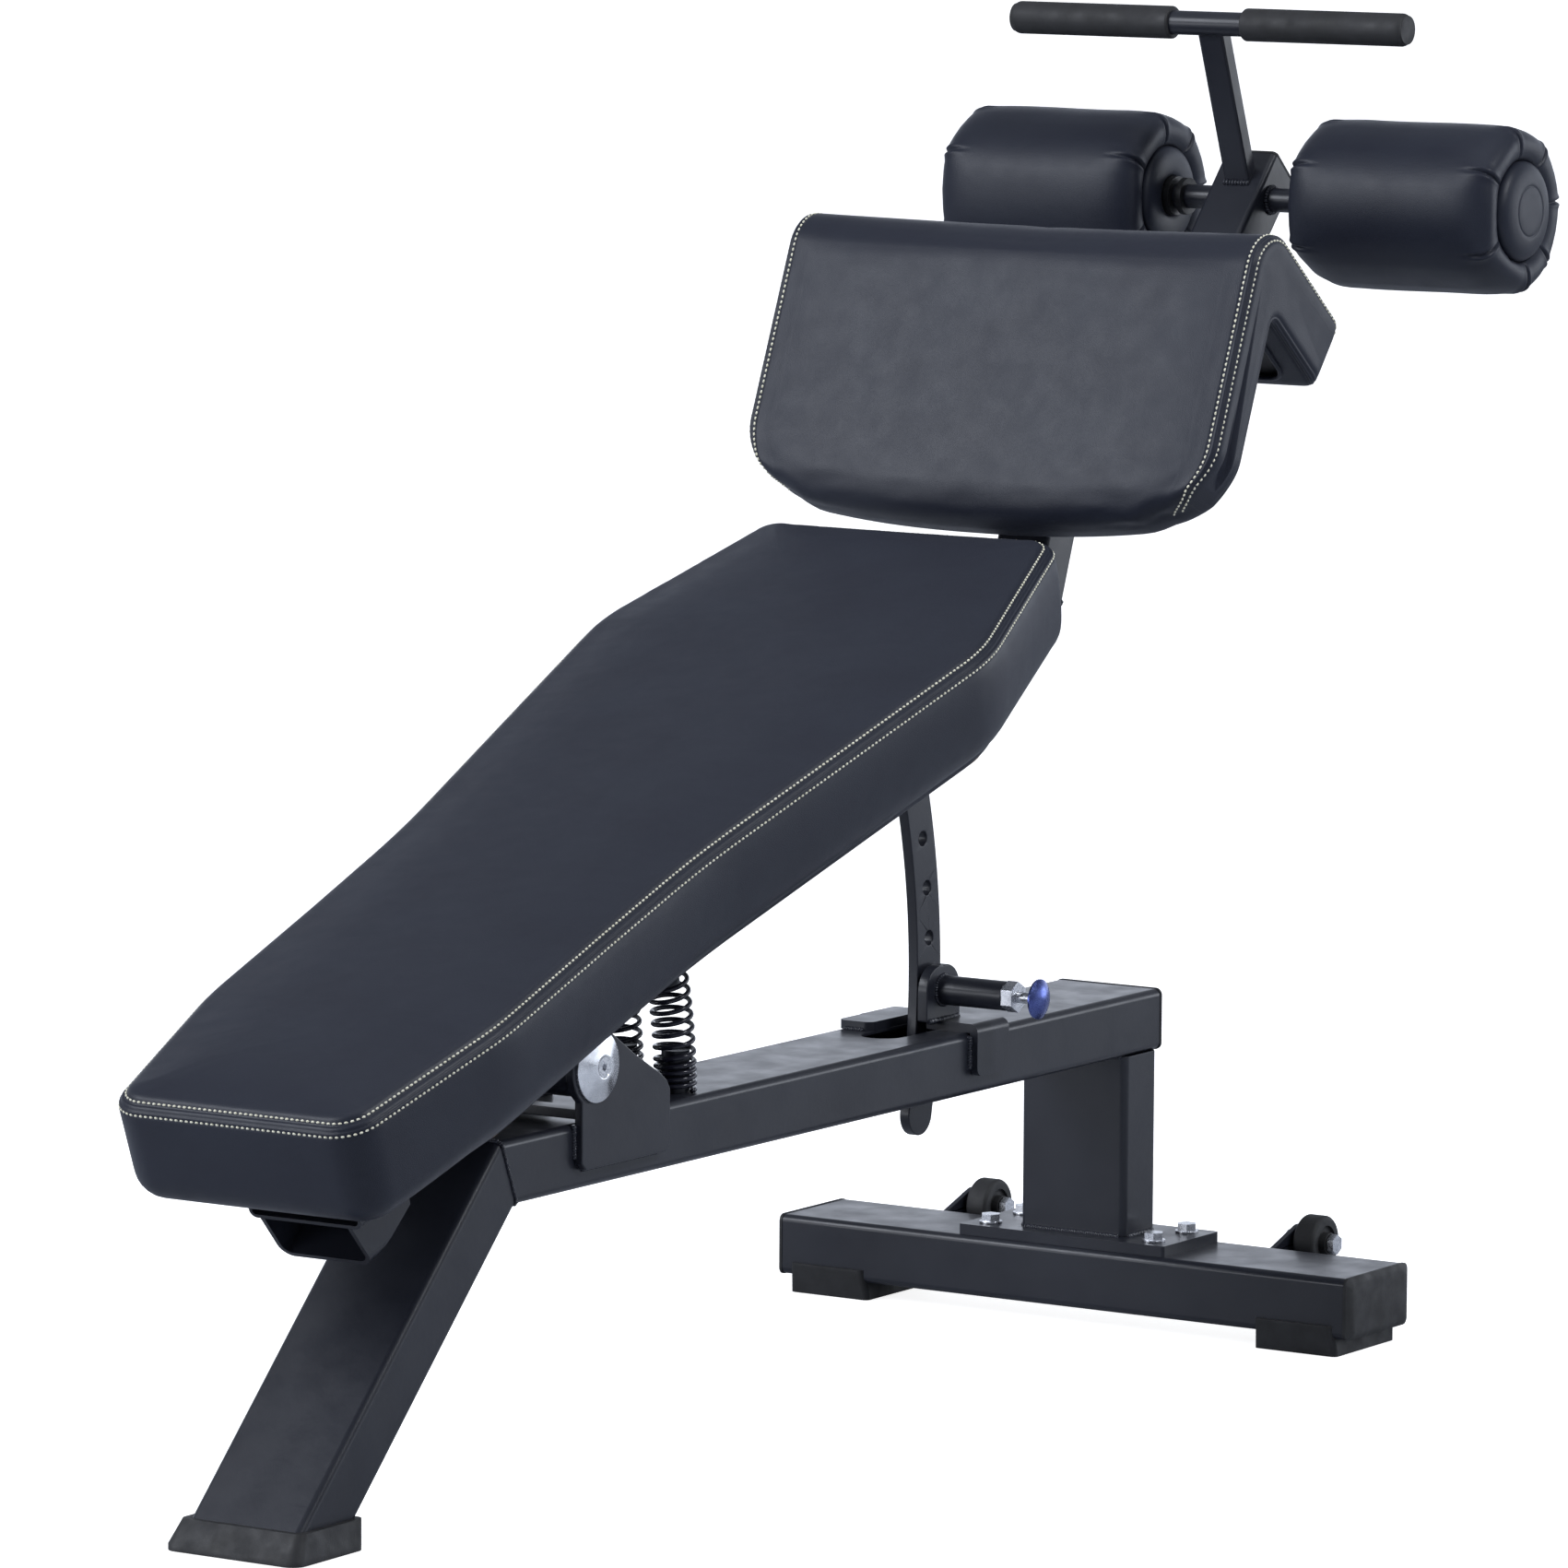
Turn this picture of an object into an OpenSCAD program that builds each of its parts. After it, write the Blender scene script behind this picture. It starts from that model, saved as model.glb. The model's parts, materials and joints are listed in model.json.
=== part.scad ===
// Adjustable decline sit-up bench: a welded steel frame, a pivoting bench with a long
// back pad, a thigh pad, two ankle rollers and a hand bar, and a spring pull pin.
// Millimetres. Origin on the floor under the middle of the front boot, +Y towards the
// rear foot, +X to the right, +Z up. Parts of the bench are drawn in the bench's own
// frame: origin on the pivot, Y along the pad, Z square to the pad.

/* [Frame tube] */
// Width of the rectangular frame tube
tube_w = 110; // [106:1:112]
// Depth of the rectangular frame tube
tube_h = 55; // [54:1:56]
// Wall of every tube
wall = 3; // [2:0.5:4]
// Outer corner radius of the frame tube
tube_r = 6.5; // [5:0.5:8]

/* [Frame layout] */
// Height of the top of the main beam
beam_top = 300; // [295:1:305]
// Rear end of the main beam
beam_end = 1290; // [1288:1:1300]
// Front face of the rear post
post_front = 1231; // [1230:1:1233]
// Length of the base cross tube without its end caps
base_len = 592; // [580:2:640]
// Height of the rubber feet under the base cross tube
foot_h = 16; // [14:1:18]

/* [Pivot] */
// Distance of the pivot behind the origin
pivot_y = 374.2; // [374:0.1:375]
// Height of the pivot above the floor
pivot_z = 346.5; // [346:0.1:347]
// Slope of the pad as it stands
pad_slope = 20.8; // [20.5:0.1:21]
// Diameter of the pivot shaft
shaft_d = 25; // [24:1:26]

/* [Adjuster] */
// Radius of the row of holes about the pivot
sector_r = 604; // [603:1:605]
// Width of the sector plate
sector_w = 38; // [36:1:40]
// Thickness of the sector plate
sector_t = 10; // [8:1:10]
// Angle between two neighbouring holes
step_angle = 4.25; // [4:0.05:4.3]
// Holes above the pin, each one a lower bench
holes_above = 4; // [3:1:4]
// Holes below the pin, each one a steeper bench
holes_below = 2; // [1:1:2]
// Angle of the pin below the level of the pivot
pin_angle = 1.2; // [1:0.1:1.4]
// Diameter of the lock pin
pin_d = 12; // [11:0.5:12]
// How far the pull pin travels
pin_travel = 13.5; // [13:0.1:13.5]

/* [Pads] */
// Height of the pad face above the pivot
pad_top = 166; // [164:1:168]
// Underside of the back pad above the pivot
pad_under = 57; // [57:1:58]
// Half the width of the thigh pad
knee_half = 243; // [225:1:245]
// Radius of an ankle roller
roller_r = 75; // [65:1:76]

/* [Hand bar] */
// Half the length of the hand bar
bar_half = 206; // [190:1:215]
// Diameter of the hand bar
bar_d = 22; // [20:1:24]
// Outer diameter of a grip
grip_d = 30; // [28:1:34]

/* [Hidden] */
$fn = 64;
e = 0.01;
play = 0.05;
steel = [0.20, 0.21, 0.24];
rubber = [0.07, 0.07, 0.08];
zinc = [0.72, 0.73, 0.75];
polished = [0.83, 0.84, 0.86];
hide = [0.13, 0.14, 0.20];
leg_slope = 45;
leg_shift = -12.2;
beam_mid = beam_top - tube_h / 2;
mitre_y = beam_mid + leg_shift;
base_y = 1261.5;
base_top = foot_h + tube_h;
flange_t = 10;
flange_w = 216;
flange_d = 98;
flange_y = 1260;
flange_bolts_x = 86;
flange_bolts_y = 29;
ear_t = 8;
ear_x = tube_w / 2;
ear_r = 34;
ear_front = 354;
hub_r = 26.8;
hub_half = ear_x - 1.5;
bush_r = 16;
cap_r = 30;
pin_y = pivot_y + sector_r * cos(pin_angle);
pin_z = pivot_z - sector_r * sin(pin_angle);
sector_tip = -11.7;
slot_half = 20;
slot_front = 893;
slot_rear = 1002;
saddle_t = 8;
lug_x = 10;
lug_t = 10;
barrel_end = 86;
nut_t = 11;
collar_x = lug_x + lug_t + pin_travel + 1;
knob_x = 112;
spring_base_y = 545.6;
spring_u = 167.8;
spring_x = 26.6;
spring_od = 37;
spring_id = 28;
spine_half = 55;
spine_under = 27;
spine_front = -330;
spine_rear = 620;
arm_w = 54;
arm_h = 46;
neck_mid = 34;
riser_u = 835.6;
riser_slope = 49;
riser_end = 150;
arm_level = 125;
arm_bend_u = 1150;
arm_slope = 27;
roller_u = 1303;
roller_w = 203;
arm_tip = 36;
bar_u = 1297;
bar_w = 379;
post_u = 1301;
roller_in = 80;
roller_out = 290;
roller_shaft_d = 22;
core_r = 18;
knee_u = 936;
knee_w = 260;
knee_front = 47;
knee_back = 60;
knee_long = 214;
knee_short = 110;
knee_board = 12;
knee_recess = 4;
wheel_x = 174;
wheel_y = 1370;
wheel_z = 69;
wheel_r = 25;
wheel_half = 11;
wheel_bolt_d = 10;
side_of = [-1, 1];
scoop_half = 45;
scoop_t = 4;
scoop_depth = 43;
scoop_run = 78;
bolt_places = [[35, -215], [35, -60], [35, 300], [35, 560]];
// Back pad corners: half width, distance from the pivot, corner radius, direction of an inset
half_outline = [
    [121, -393, 34, 1], [150, -215, 0, 0], [151, -60, 0, 0], [154, 80, 0, 0],
    [203, 471, 60, 0], [149, 681, 30, -1]
];

// ---------- helpers ----------

// Rectangle with true round corners, centred
module round_rect(w, h, r) {
    square([w - 2 * r, h], center = true);
    square([w, h - 2 * r], center = true);
    for (x = side_of, y = side_of) translate([x * (w / 2 - r), y * (h / 2 - r)]) circle(r);
}

// Hollow rectangular section
module tube_section(w, h, r, t) {
    difference() {
        round_rect(w, h, r);
        round_rect(w - 2 * t, h - 2 * t, max(r - t, 1));
    }
}

// Extrudes a section drawn in X and Z along +Y from y0 to y1
module along_y(y0, y1) translate([0, y0, 0]) rotate([-90, 0, 0]) linear_extrude(y1 - y0) children();

// Extrudes an outline drawn in Y and Z along +X from x0 to x1
module along_x(x0, x1) translate([x0, 0, 0]) rotate([90, 0, 90]) linear_extrude(x1 - x0) children();

// Cylinder along X
module rod_x(d, x0, x1) translate([x0, 0, 0]) rotate([0, 90, 0]) cylinder(d = d, h = x1 - x0);

// Ring along X
module ring_x(od, id, x0, x1) {
    difference() {
        rod_x(od, x0, x1);
        rod_x(id, x0 - 1, x1 + 1);
    }
}

// Corner of a smooth outline: touch points and the centre of the arc
function unit(v) = v / norm(v);
function flat(p) = [p[0], p[1]];
function half_angle(a, p, b) = acos(unit(flat(a - p)) * unit(flat(b - p))) / 2;
function arc_start(a, p, b) = flat(p) + p[2] / tan(half_angle(a, p, b)) * unit(flat(a - p));
function arc_mid(a, p, b) = flat(p)
    + p[2] / sin(half_angle(a, p, b)) * unit(unit(flat(a - p)) + unit(flat(b - p)));

// Outline through points [x, y, radius], a radius of 0 leaves the corner as it is
module smooth(pts) {
    n = len(pts);
    polygon([for (i = [0:n - 1]) let (a = pts[(i + n - 1) % n], p = pts[i], b = pts[(i + 1) % n])
        each (p[2] > 0 ? [arc_start(a, p, b), arc_start(b, p, a)] : [flat(p)])]);
    for (i = [0:n - 1]) if (pts[i][2] > 0)
        translate(arc_mid(pts[(i + n - 1) % n], pts[i], pts[(i + 1) % n])) circle(pts[i][2] - 0.002);
}

// The same outline with each arc in flat steps
function steps_of(a, p, b, n) =
    let (m = arc_mid(a, p, b), d = arc_start(a, p, b) - m, f = arc_start(b, p, a) - m)
    [for (i = [0:n]) m + p[2] * unit((n - i) * d + i * f)];
module stepped(pts, steps) {
    n = len(pts);
    polygon([for (i = [0:n - 1]) let (a = pts[(i + n - 1) % n], p = pts[i], b = pts[(i + 1) % n])
        each (p[2] > 0 ? steps_of(a, p, b, steps) : [flat(p)])]);
}

// Puts bench parts in place
module bench() translate([0, pivot_y, pivot_z]) rotate([pad_slope, 0, 0]) children();

// A plus the offsets of the two flanks of a V whose flanks drop at af and ar
function vee_apex(a, af, ar, tf, tr) = [
    a[0] + (tr * cos(af) - tf * cos(ar)) / sin(af + ar),
    a[1] + (tr * sin(af) + tf * sin(ar)) / sin(af + ar)
];
function vee_front(a, af, l, t) = [a[0] - l * cos(af) - t * sin(af), a[1] - l * sin(af) + t * cos(af)];
function vee_back(a, ar, l, t) = [a[0] + l * cos(ar) + t * sin(ar), a[1] - l * sin(ar) + t * cos(ar)];

// Upside-down V outline between offsets t0 and the pair tf, tr, with flank lengths lf, lr,
// outer corners rounded by r and the crest by rc
module vee(t0, tf, tr, lf, lr, r, rc) {
    a = [knee_u, knee_w];
    stepped([
        concat(vee_apex(a, knee_front, knee_back, t0, t0), 0),
        concat(vee_front(a, knee_front, lf, t0), 0),
        concat(vee_front(a, knee_front, lf, tf), r),
        concat(vee_apex(a, knee_front, knee_back, tf, tr), rc),
        concat(vee_back(a, knee_back, lr, tr), r),
        concat(vee_back(a, knee_back, lr, t0), 0)
    ], 6);
}

// Hexagon of a bolt head or nut, across flats
module hex(af, h) cylinder(d = af / cos(30), h = h, $fn = 6);

// ---------- frame ----------

module frame_tube() tube_section(tube_w, tube_h, tube_r, wall);

// Everything in front of the mitre between the leg and the beam
module mitre_front() {
    translate([0, mitre_y, beam_mid]) rotate([leg_slope / 2, 0, 0])
        translate([-tube_w, -400, -500]) cube([2 * tube_w, 400, 1000]);
}

module main_beam() color(steel) difference() {
    translate([0, 0, beam_mid]) along_y(mitre_y - 60, beam_end) frame_tube();
    mitre_front();
    translate([0, 0, beam_mid - tube_h]) linear_extrude(2 * tube_h) {
        translate([0, slot_front + slot_half]) circle(slot_half);
        translate([-slot_half, slot_front + slot_half])
            square([2 * slot_half, slot_rear - slot_front - slot_half]);
    }
}

module front_leg() color(steel) difference() {
    intersection() {
        translate([0, leg_shift, 0]) rotate([-leg_slope, 0, 0])
            translate([0, 0, -80]) linear_extrude(600) frame_tube();
        mitre_front();
    }
    translate([-tube_w, -200, -200]) cube([2 * tube_w, 400, 205]);
}

module rear_post() color(steel) {
    translate([0, post_front + tube_h / 2, base_top + flange_t])
        linear_extrude(beam_top - tube_h - base_top - flange_t) frame_tube();
}

module flange_holes(d, h) {
    for (x = side_of, y = side_of)
        translate([x * flange_bolts_x, flange_y + y * flange_bolts_y, 0]) cylinder(d = d, h = h);
}

module flange_plate() color(steel) difference() {
    translate([0, flange_y, base_top]) linear_extrude(flange_t) round_rect(flange_w, flange_d, 3);
    translate([0, 0, base_top - 1]) flange_holes(11, flange_t + 2);
}

module base_cross_tube() color(steel) difference() {
    translate([0, base_y, foot_h + tube_h / 2]) rotate([90, 0, 90])
        translate([0, 0, -base_len / 2]) linear_extrude(base_len) frame_tube();
    translate([0, 0, base_top - wall - 1]) flange_holes(11, wall + 2);
}

// Moulded end cap on +X: a flange over the tube end, a dome and a plug inside
module tube_cap() {
    linear_extrude(2.5) round_rect(tube_w + 1, tube_h + 1, tube_r);
    translate([0, 0, 2.5]) hull() {
        linear_extrude(0.2) round_rect(tube_w + 1, tube_h + 1, tube_r, $fn = 32);
        linear_extrude(3.5) round_rect(tube_w - 12, tube_h - 12, tube_r, $fn = 32);
    }
    translate([0, 0, -18]) linear_extrude(18)
        tube_section(tube_w - 2 * wall - 0.4, tube_h - 2 * wall - 0.4, 3, 2.5);
}

module beam_end_cap() color(rubber) translate([0, beam_end, beam_mid]) rotate([-90, 0, 0]) tube_cap();

module base_end_caps() color(rubber) for (s = side_of)
    translate([s * base_len / 2, base_y, foot_h + tube_h / 2]) rotate([90, 0, s * 90]) tube_cap();

// Flared rubber boot with a pocket for the cut foot of the leg
module front_boot() color(rubber) difference() {
    hull() {
        linear_extrude(5) round_rect(132, 96, 12, $fn = 32);
        translate([0, 10, 23]) linear_extrude(1) round_rect(121, 86, 8, $fn = 32);
    }
    intersection() {
        translate([0, leg_shift, 0]) rotate([-leg_slope, 0, 0])
            translate([0, 0, -80]) linear_extrude(300) round_rect(tube_w + 0.4, tube_h + 0.4, tube_r);
        translate([-100, -200, 4.9]) cube([200, 400, 100]);
    }
}

// Rubber shoe under the base cross tube with low lips in front and behind
module base_feet() color(rubber) for (s = side_of) difference() {
    hull() {
        translate([s * 246, base_y, 0]) linear_extrude(4) round_rect(84, tube_w - 4, 5, $fn = 32);
        translate([s * 246, base_y, foot_h + 9]) linear_extrude(3) round_rect(78, tube_w + 7, 5, $fn = 32);
    }
    translate([s * 246, base_y, foot_h + tube_h / 2]) rotate([90, 0, 90])
        translate([0, 0, -60]) linear_extrude(120) round_rect(tube_w, tube_h, tube_r);
}

module flange_bolts() color(zinc) for (x = side_of, y = side_of)
    translate([x * flange_bolts_x, flange_y + y * flange_bolts_y, base_top + flange_t + 2]) {
        hex(16, 6.4);
        translate([0, 0, -26]) cylinder(d = 10, h = 26 + e);
    }

module flange_washers() color(zinc) for (x = side_of, y = side_of)
    translate([x * flange_bolts_x, flange_y + y * flange_bolts_y, base_top + flange_t]) difference() {
        cylinder(d = 21, h = 2);
        translate([0, 0, -1]) cylinder(d = 10.5, h = 4);
    }

module flange_nuts() color(zinc) for (x = side_of, y = side_of)
    translate([x * flange_bolts_x, flange_y + y * flange_bolts_y, base_top - wall - 9]) difference() {
        hex(16, 9);
        translate([0, 0, -1]) cylinder(d = 10, h = 11);
    }

// ---------- transport wheels ----------

// One plate beside each wheel, welded to the rear face of the base cross tube
module wheel_brackets() color(steel) for (s = side_of)
    along_x(s * wheel_x - 21, s * wheel_x - 16) difference() {
        union() {
            polygon([
                [base_y + tube_w / 2, 26], [base_y + tube_w / 2, 66], [wheel_y - 5, wheel_z + 14],
                [wheel_y, wheel_z], [wheel_y + 2, wheel_z - 14.6]
            ]);
            translate([wheel_y, wheel_z]) circle(15);
        }
        translate([wheel_y, wheel_z]) circle(wheel_bolt_d / 2);
    }

module wheel_axles() color(zinc) for (s = side_of)
    translate([s * wheel_x, wheel_y, wheel_z]) {
        rod_x(wheel_bolt_d, -32, 16);
        translate([16, 0, 0]) rotate([0, 90, 0]) hex(16, 6.4);
    }

module wheel_nuts() color(zinc) for (s = side_of)
    translate([s * wheel_x - 29, wheel_y, wheel_z]) difference() {
        rotate([0, 90, 0]) hex(16, 8);
        rod_x(wheel_bolt_d, -1, 9);
    }

// Wheel with a rounded tread and recessed hub faces
module wheel() rotate([0, 90, 0]) rotate_extrude() {
    translate([wheel_bolt_d / 2 + play, -wheel_half - 4]) square([5, 2 * wheel_half + 8]);
    translate([wheel_bolt_d / 2 + play, -wheel_half + 3]) square([16, 2 * wheel_half - 6]);
    translate([16, -wheel_half]) square([5, 2 * wheel_half]);
    translate([16, -wheel_half + 4]) square([wheel_r - 16, 2 * wheel_half - 8]);
    for (c = side_of) translate([wheel_r - 4, c * (wheel_half - 4)]) circle(4);
}

module wheel_left() color(rubber) translate([-wheel_x, wheel_y, wheel_z]) wheel();
module wheel_right() color(rubber) translate([wheel_x, wheel_y, wheel_z]) wheel();

// ---------- pivot ----------

// Ear plate outline in Y and Z: upright front, round top, sloping shoulder at the rear
module ear_outline() {
    translate([pivot_y, pivot_z]) circle(ear_r);
    polygon([
        [ear_front, 268], [ear_front + 6, 262], [478, 262], [484, 268], [484, 314],
        [479, 322], [468, 330], [433, 349],
        [pivot_y + 0.99 * ear_r * cos(56), pivot_z + 0.99 * ear_r * sin(56)],
        [pivot_y, pivot_z], [ear_front, pivot_z - 12]
    ]);
}

module pivot_ear(x0) color(steel) difference() {
    along_x(x0, x0 + ear_t) ear_outline();
    translate([0, pivot_y, pivot_z]) rod_x(shaft_d, x0 - 1, x0 + ear_t + 1);
}

module pivot_ear_left() pivot_ear(-ear_x - ear_t);
module pivot_ear_right() pivot_ear(ear_x);

// Low stiffener between the ears, in front of the hub
module ear_cross_plate() color(steel)
    translate([-ear_x, 357, 304]) cube([2 * ear_x, 20, 8]);

module pivot_shaft() color(zinc) translate([0, pivot_y, pivot_z]) difference() {
    rod_x(shaft_d, -ear_x - ear_t, ear_x + ear_t);
    for (s = side_of) rotate([0, s * 90, 0]) translate([0, 0, ear_x + ear_t - 24]) cylinder(d = 10, h = 30);
}

// Turned cap over each end of the shaft: a cone with a countersunk screw
module pivot_caps() color(polished) for (s = side_of)
    translate([s * (ear_x + ear_t), pivot_y, pivot_z]) rotate([0, s * 90, 0]) difference() {
        union() {
            cylinder(r = cap_r, h = 2.5);
            translate([0, 0, 2.5]) cylinder(r1 = cap_r, r2 = 12, h = 6);
        }
        translate([0, 0, -1]) cylinder(d = 10.4, h = 20);
        translate([0, 0, 4.5]) cylinder(d1 = 10.4, d2 = 20.4, h = 5);
    }

module pivot_screws() color(zinc) for (s = side_of)
    translate([s * (ear_x + ear_t), pivot_y, pivot_z]) rotate([0, s * 90, 0]) difference() {
        union() {
            translate([0, 0, -22]) cylinder(d = 10, h = 27);
            translate([0, 0, 4.6]) cylinder(d1 = 10, d2 = 17.2, h = 3.6);
        }
        translate([0, 0, 4.6]) hex(6, 6);
    }

module pivot_hub() color(steel) bench() ring_x(2 * hub_r, 2 * bush_r, -hub_half, hub_half);

// Flanged bushes pressed into both ends of the hub
module pivot_bushes() color([0.75, 0.62, 0.38]) bench() for (s = side_of) mirror([s < 0 ? 1 : 0, 0, 0]) {
    ring_x(2 * bush_r, shaft_d + 2 * play, hub_half - 30, hub_half);
    ring_x(44, shaft_d + 2 * play, hub_half - e, hub_half + 1.2);
}

// ---------- adjuster ----------

module saddle_outline() difference() {
    union() {
        translate([-tube_w / 2, 931]) square([tube_w / 2 - slot_half, 87]);
        translate([-tube_w / 2 + 8, 923]) square([tube_w / 2 - slot_half - 16, 20]);
        translate([-tube_w / 2 + 8, 931]) circle(8);
        translate([-slot_half - 8, 931]) circle(8);
        translate([-slot_half - e, 1003]) square([slot_half + lug_x + 2 * e, 15]);
        translate([lug_x, 966]) square([tube_w / 2 - lug_x, 52]);
    }
}

// Plate bent over the beam, open in the middle for the sector plate
module saddle_bracket() color(steel) {
    translate([0, 0, beam_top]) linear_extrude(saddle_t) saddle_outline();
    for (s = side_of) {
        difference() {
            translate([s * tube_w / 2, 966, beam_top]) rotate([-90, 0, 0]) cylinder(r = saddle_t, h = 52);
            translate([-tube_w / 2, 960, beam_top - 20]) cube([tube_w, 64, 40]);
            translate([-tube_w, 960, beam_top - 20]) cube([2 * tube_w, 64, 20]);
        }
        along_x(s > 0 ? tube_w / 2 : -tube_w / 2 - saddle_t, s > 0 ? tube_w / 2 + saddle_t : -tube_w / 2) {
            translate([966, beam_top - 30]) square([52, 30]);
            translate([974, beam_top - 38]) square([36, 20]);
            for (y = [974, 1010]) translate([y, beam_top - 30]) circle(8);
        }
    }
}

// Upright lug beside the sector plate
module pin_lug() color(steel) difference() {
    along_x(lug_x, lug_x + lug_t) {
        translate([pin_y - 27, beam_top + saddle_t]) square([54, pin_z - beam_top - saddle_t]);
        translate([pin_y - 5, pin_z]) square([10, 20]);
        for (s = side_of) translate([pin_y + s * 5, pin_z]) circle(22);
        translate([pin_y - 27, pin_z - 1]) square([54, 1]);
    }
    translate([0, pin_y, pin_z]) rod_x(pin_d + 2 * play, 0, 40);
}

module pin_barrel() color(steel) translate([0, pin_y, pin_z]) ring_x(26, 20, lug_x + lug_t, barrel_end);

module barrel_nut() color(zinc) translate([0, pin_y, pin_z]) difference() {
    union() {
        translate([barrel_end, 0, 0]) rotate([0, 90, 0]) hex(24, nut_t);
        rod_x(20, barrel_end - 8, barrel_end + e);
    }
    rod_x(10 + 2 * play, barrel_end - 10, barrel_end + nut_t + 1);
}

// Return spring, its outer shape
module pin_spring() color(zinc) translate([0, pin_y, pin_z])
    ring_x(17.6, 12, collar_x + 4.2, barrel_end - 8.2);

// Pin as it is with the knob pulled out, its tip clear of the sector plate
module lock_pin() color(zinc) translate([0, pin_y, pin_z]) {
    tip = pin_travel - sector_t / 2 - 1;
    translate([tip, 0, 0]) rotate([0, 90, 0]) cylinder(d1 = pin_d - 3, d2 = pin_d, h = 2.5);
    rod_x(pin_d, tip + 2.5 - e, collar_x);
    rod_x(18, collar_x, collar_x + 4);
    rod_x(10, collar_x + 4 - e, knob_x + 6);
}

// Mushroom knob with a neck
module pin_knob() color([0.24, 0.30, 0.62]) translate([knob_x - 1, pin_y, pin_z]) rotate([0, 90, 0]) {
    difference() {
        union() {
            cylinder(d = 16, h = 4);
            translate([0, 0, 3]) cylinder(d1 = 20, d2 = 35, h = 3);
            translate([0, 0, 6 - e]) cylinder(d = 35, h = 1.5);
            translate([0, 0, 7.5 - 2 * e]) intersection() {
                translate([0, 0, -23.2]) sphere(r = 29);
                cylinder(d = 35, h = 8);
            }
        }
        translate([0, 0, -1]) cylinder(d = 10, h = 8);
    }
}

// Arc plate about the pivot with a row of holes, welded under the spine
module sector_plate() color(steel) bench() along_x(-sector_t / 2, sector_t / 2) {
    tip = sector_tip - pad_slope;
    difference() {
        union() {
            difference() {
                circle(sector_r + sector_w / 2, $fn = 180);
                circle(sector_r - sector_w / 2, $fn = 180);
                rotate(tip) translate([-900, -900]) square([1800, 900]);
                translate([-900, spine_under]) square([1800, 900]);
                translate([-900, -900]) square([900, 1800]);
                translate([spine_rear, neck_mid - arm_h / 2]) square([60, 60]);
            }
            rotate(tip) translate([sector_r, 0]) circle(sector_w / 2);
        }
        for (i = [-holes_below:holes_above])
            rotate(i * step_angle - pin_angle - pad_slope) translate([sector_r, 0]) circle(d = pin_d + 1);
    }
}

// ---------- springs ----------

// A bent tube that rises square to the beam and ends square to the pad
module spring_envelope(x) {
    bend = (spring_base_y - (pivot_y + spring_u * cos(pad_slope) - spine_under * sin(pad_slope)))
        / (1 - cos(pad_slope));
    translate([x, spring_base_y - bend, beam_top]) rotate([0, -90, 0]) rotate([0, 0, 90]) mirror([0, 1, 0])
        rotate([0, 0, 0.25]) rotate_extrude(angle = pad_slope - 0.5) translate([bend, 0]) difference() {
            circle(d = spring_od);
            circle(d = spring_id);
        }
}

module assist_spring_left() color(rubber) spring_envelope(-spring_x);
module assist_spring_right() color(rubber) spring_envelope(spring_x);

module spring_lower_posts() color(rubber) for (s = side_of)
    translate([s * spring_x, spring_base_y, beam_top]) {
        cylinder(d = 24, h = 36);
    }

module spring_upper_posts() color(rubber) bench() for (s = side_of)
    translate([s * spring_x, spring_u, -18]) cylinder(d = 18, h = spine_under + 18);

// ---------- bench structure ----------

module pad_spine() color(steel) bench() difference() {
    translate([0, 0, (spine_under + pad_under) / 2]) along_y(spine_front, spine_rear)
        tube_section(2 * spine_half, pad_under - spine_under, 7, wall);
    translate([0, 0, spine_under - 1]) bolt_holes(9, 40);
}

module bolt_holes(d, h) for (p = bolt_places, s = side_of)
    translate([s * p[0], p[1], 0]) cylinder(d = d, h = h);

// Side view of the scoop, and the same pushed in by the thickness of its sheet
module scoop_outline(t) polygon([
    [spine_front - 20 * t, spine_under + t], [spine_front + 17 - 20 * t, spine_under - scoop_depth + t],
    [spine_front + 17, spine_under - scoop_depth + t],
    [spine_front + scoop_run - t, spine_under - 20 + t / 2],
    [spine_front + scoop_run + 2 - t, spine_under + t]
]);

// Front view of the scoop, its two lower corners rounded by r
module scoop_front(half, floor_w, r) {
    translate([-half, -spine_under - 40]) square([2 * half, 40 + spine_under - floor_w - r]);
    translate([r - half, -spine_under - 40]) square([2 * (half - r), 40 + spine_under - floor_w]);
    for (x = side_of) translate([x * (half - r), -floor_w - r]) circle(r);
}

// Bent sheet scoop under the head end, open at the front as a hand hold
module head_end_bracket() color(steel) bench() difference() {
    intersection() {
        along_x(-scoop_half, scoop_half) scoop_outline(0);
        along_y(spine_front - 20, spine_front + 120) scoop_front(scoop_half, spine_under - scoop_depth, 12);
    }
    intersection() {
        along_x(-scoop_half, scoop_half) scoop_outline(scoop_t);
        along_y(spine_front - 100, spine_front + 120)
            scoop_front(scoop_half - scoop_t, spine_under - scoop_depth + scoop_t, 8);
    }
}

// Outline of the back pad, drawn smaller all round by an inset
module pad_outline(inset) smooth([
    for (p = half_outline) [p[0] - inset, p[1] + inset * p[3], p[2]],
    for (i = [5:-1:0]) [inset - half_outline[i][0], half_outline[i][1] + inset * half_outline[i][3],
        half_outline[i][2]]
]);

module main_pad_board() color([0.55, 0.42, 0.28]) bench() difference() {
    translate([0, 0, pad_under]) linear_extrude(15) pad_outline(34);
    translate([0, 0, pad_under - 1]) bolt_holes(8, 11);
}

module main_pad() color(hide) bench() difference() {
    union() {
        translate([0, 0, pad_under + 26]) linear_extrude(pad_top - pad_under - 26) pad_outline(0);
        translate([0, 0, pad_under + 0.4]) linear_extrude(26) pad_outline(12);
    }
    translate([0, 0, pad_under - 1]) linear_extrude(16.3) pad_outline(33.7);
}

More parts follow.
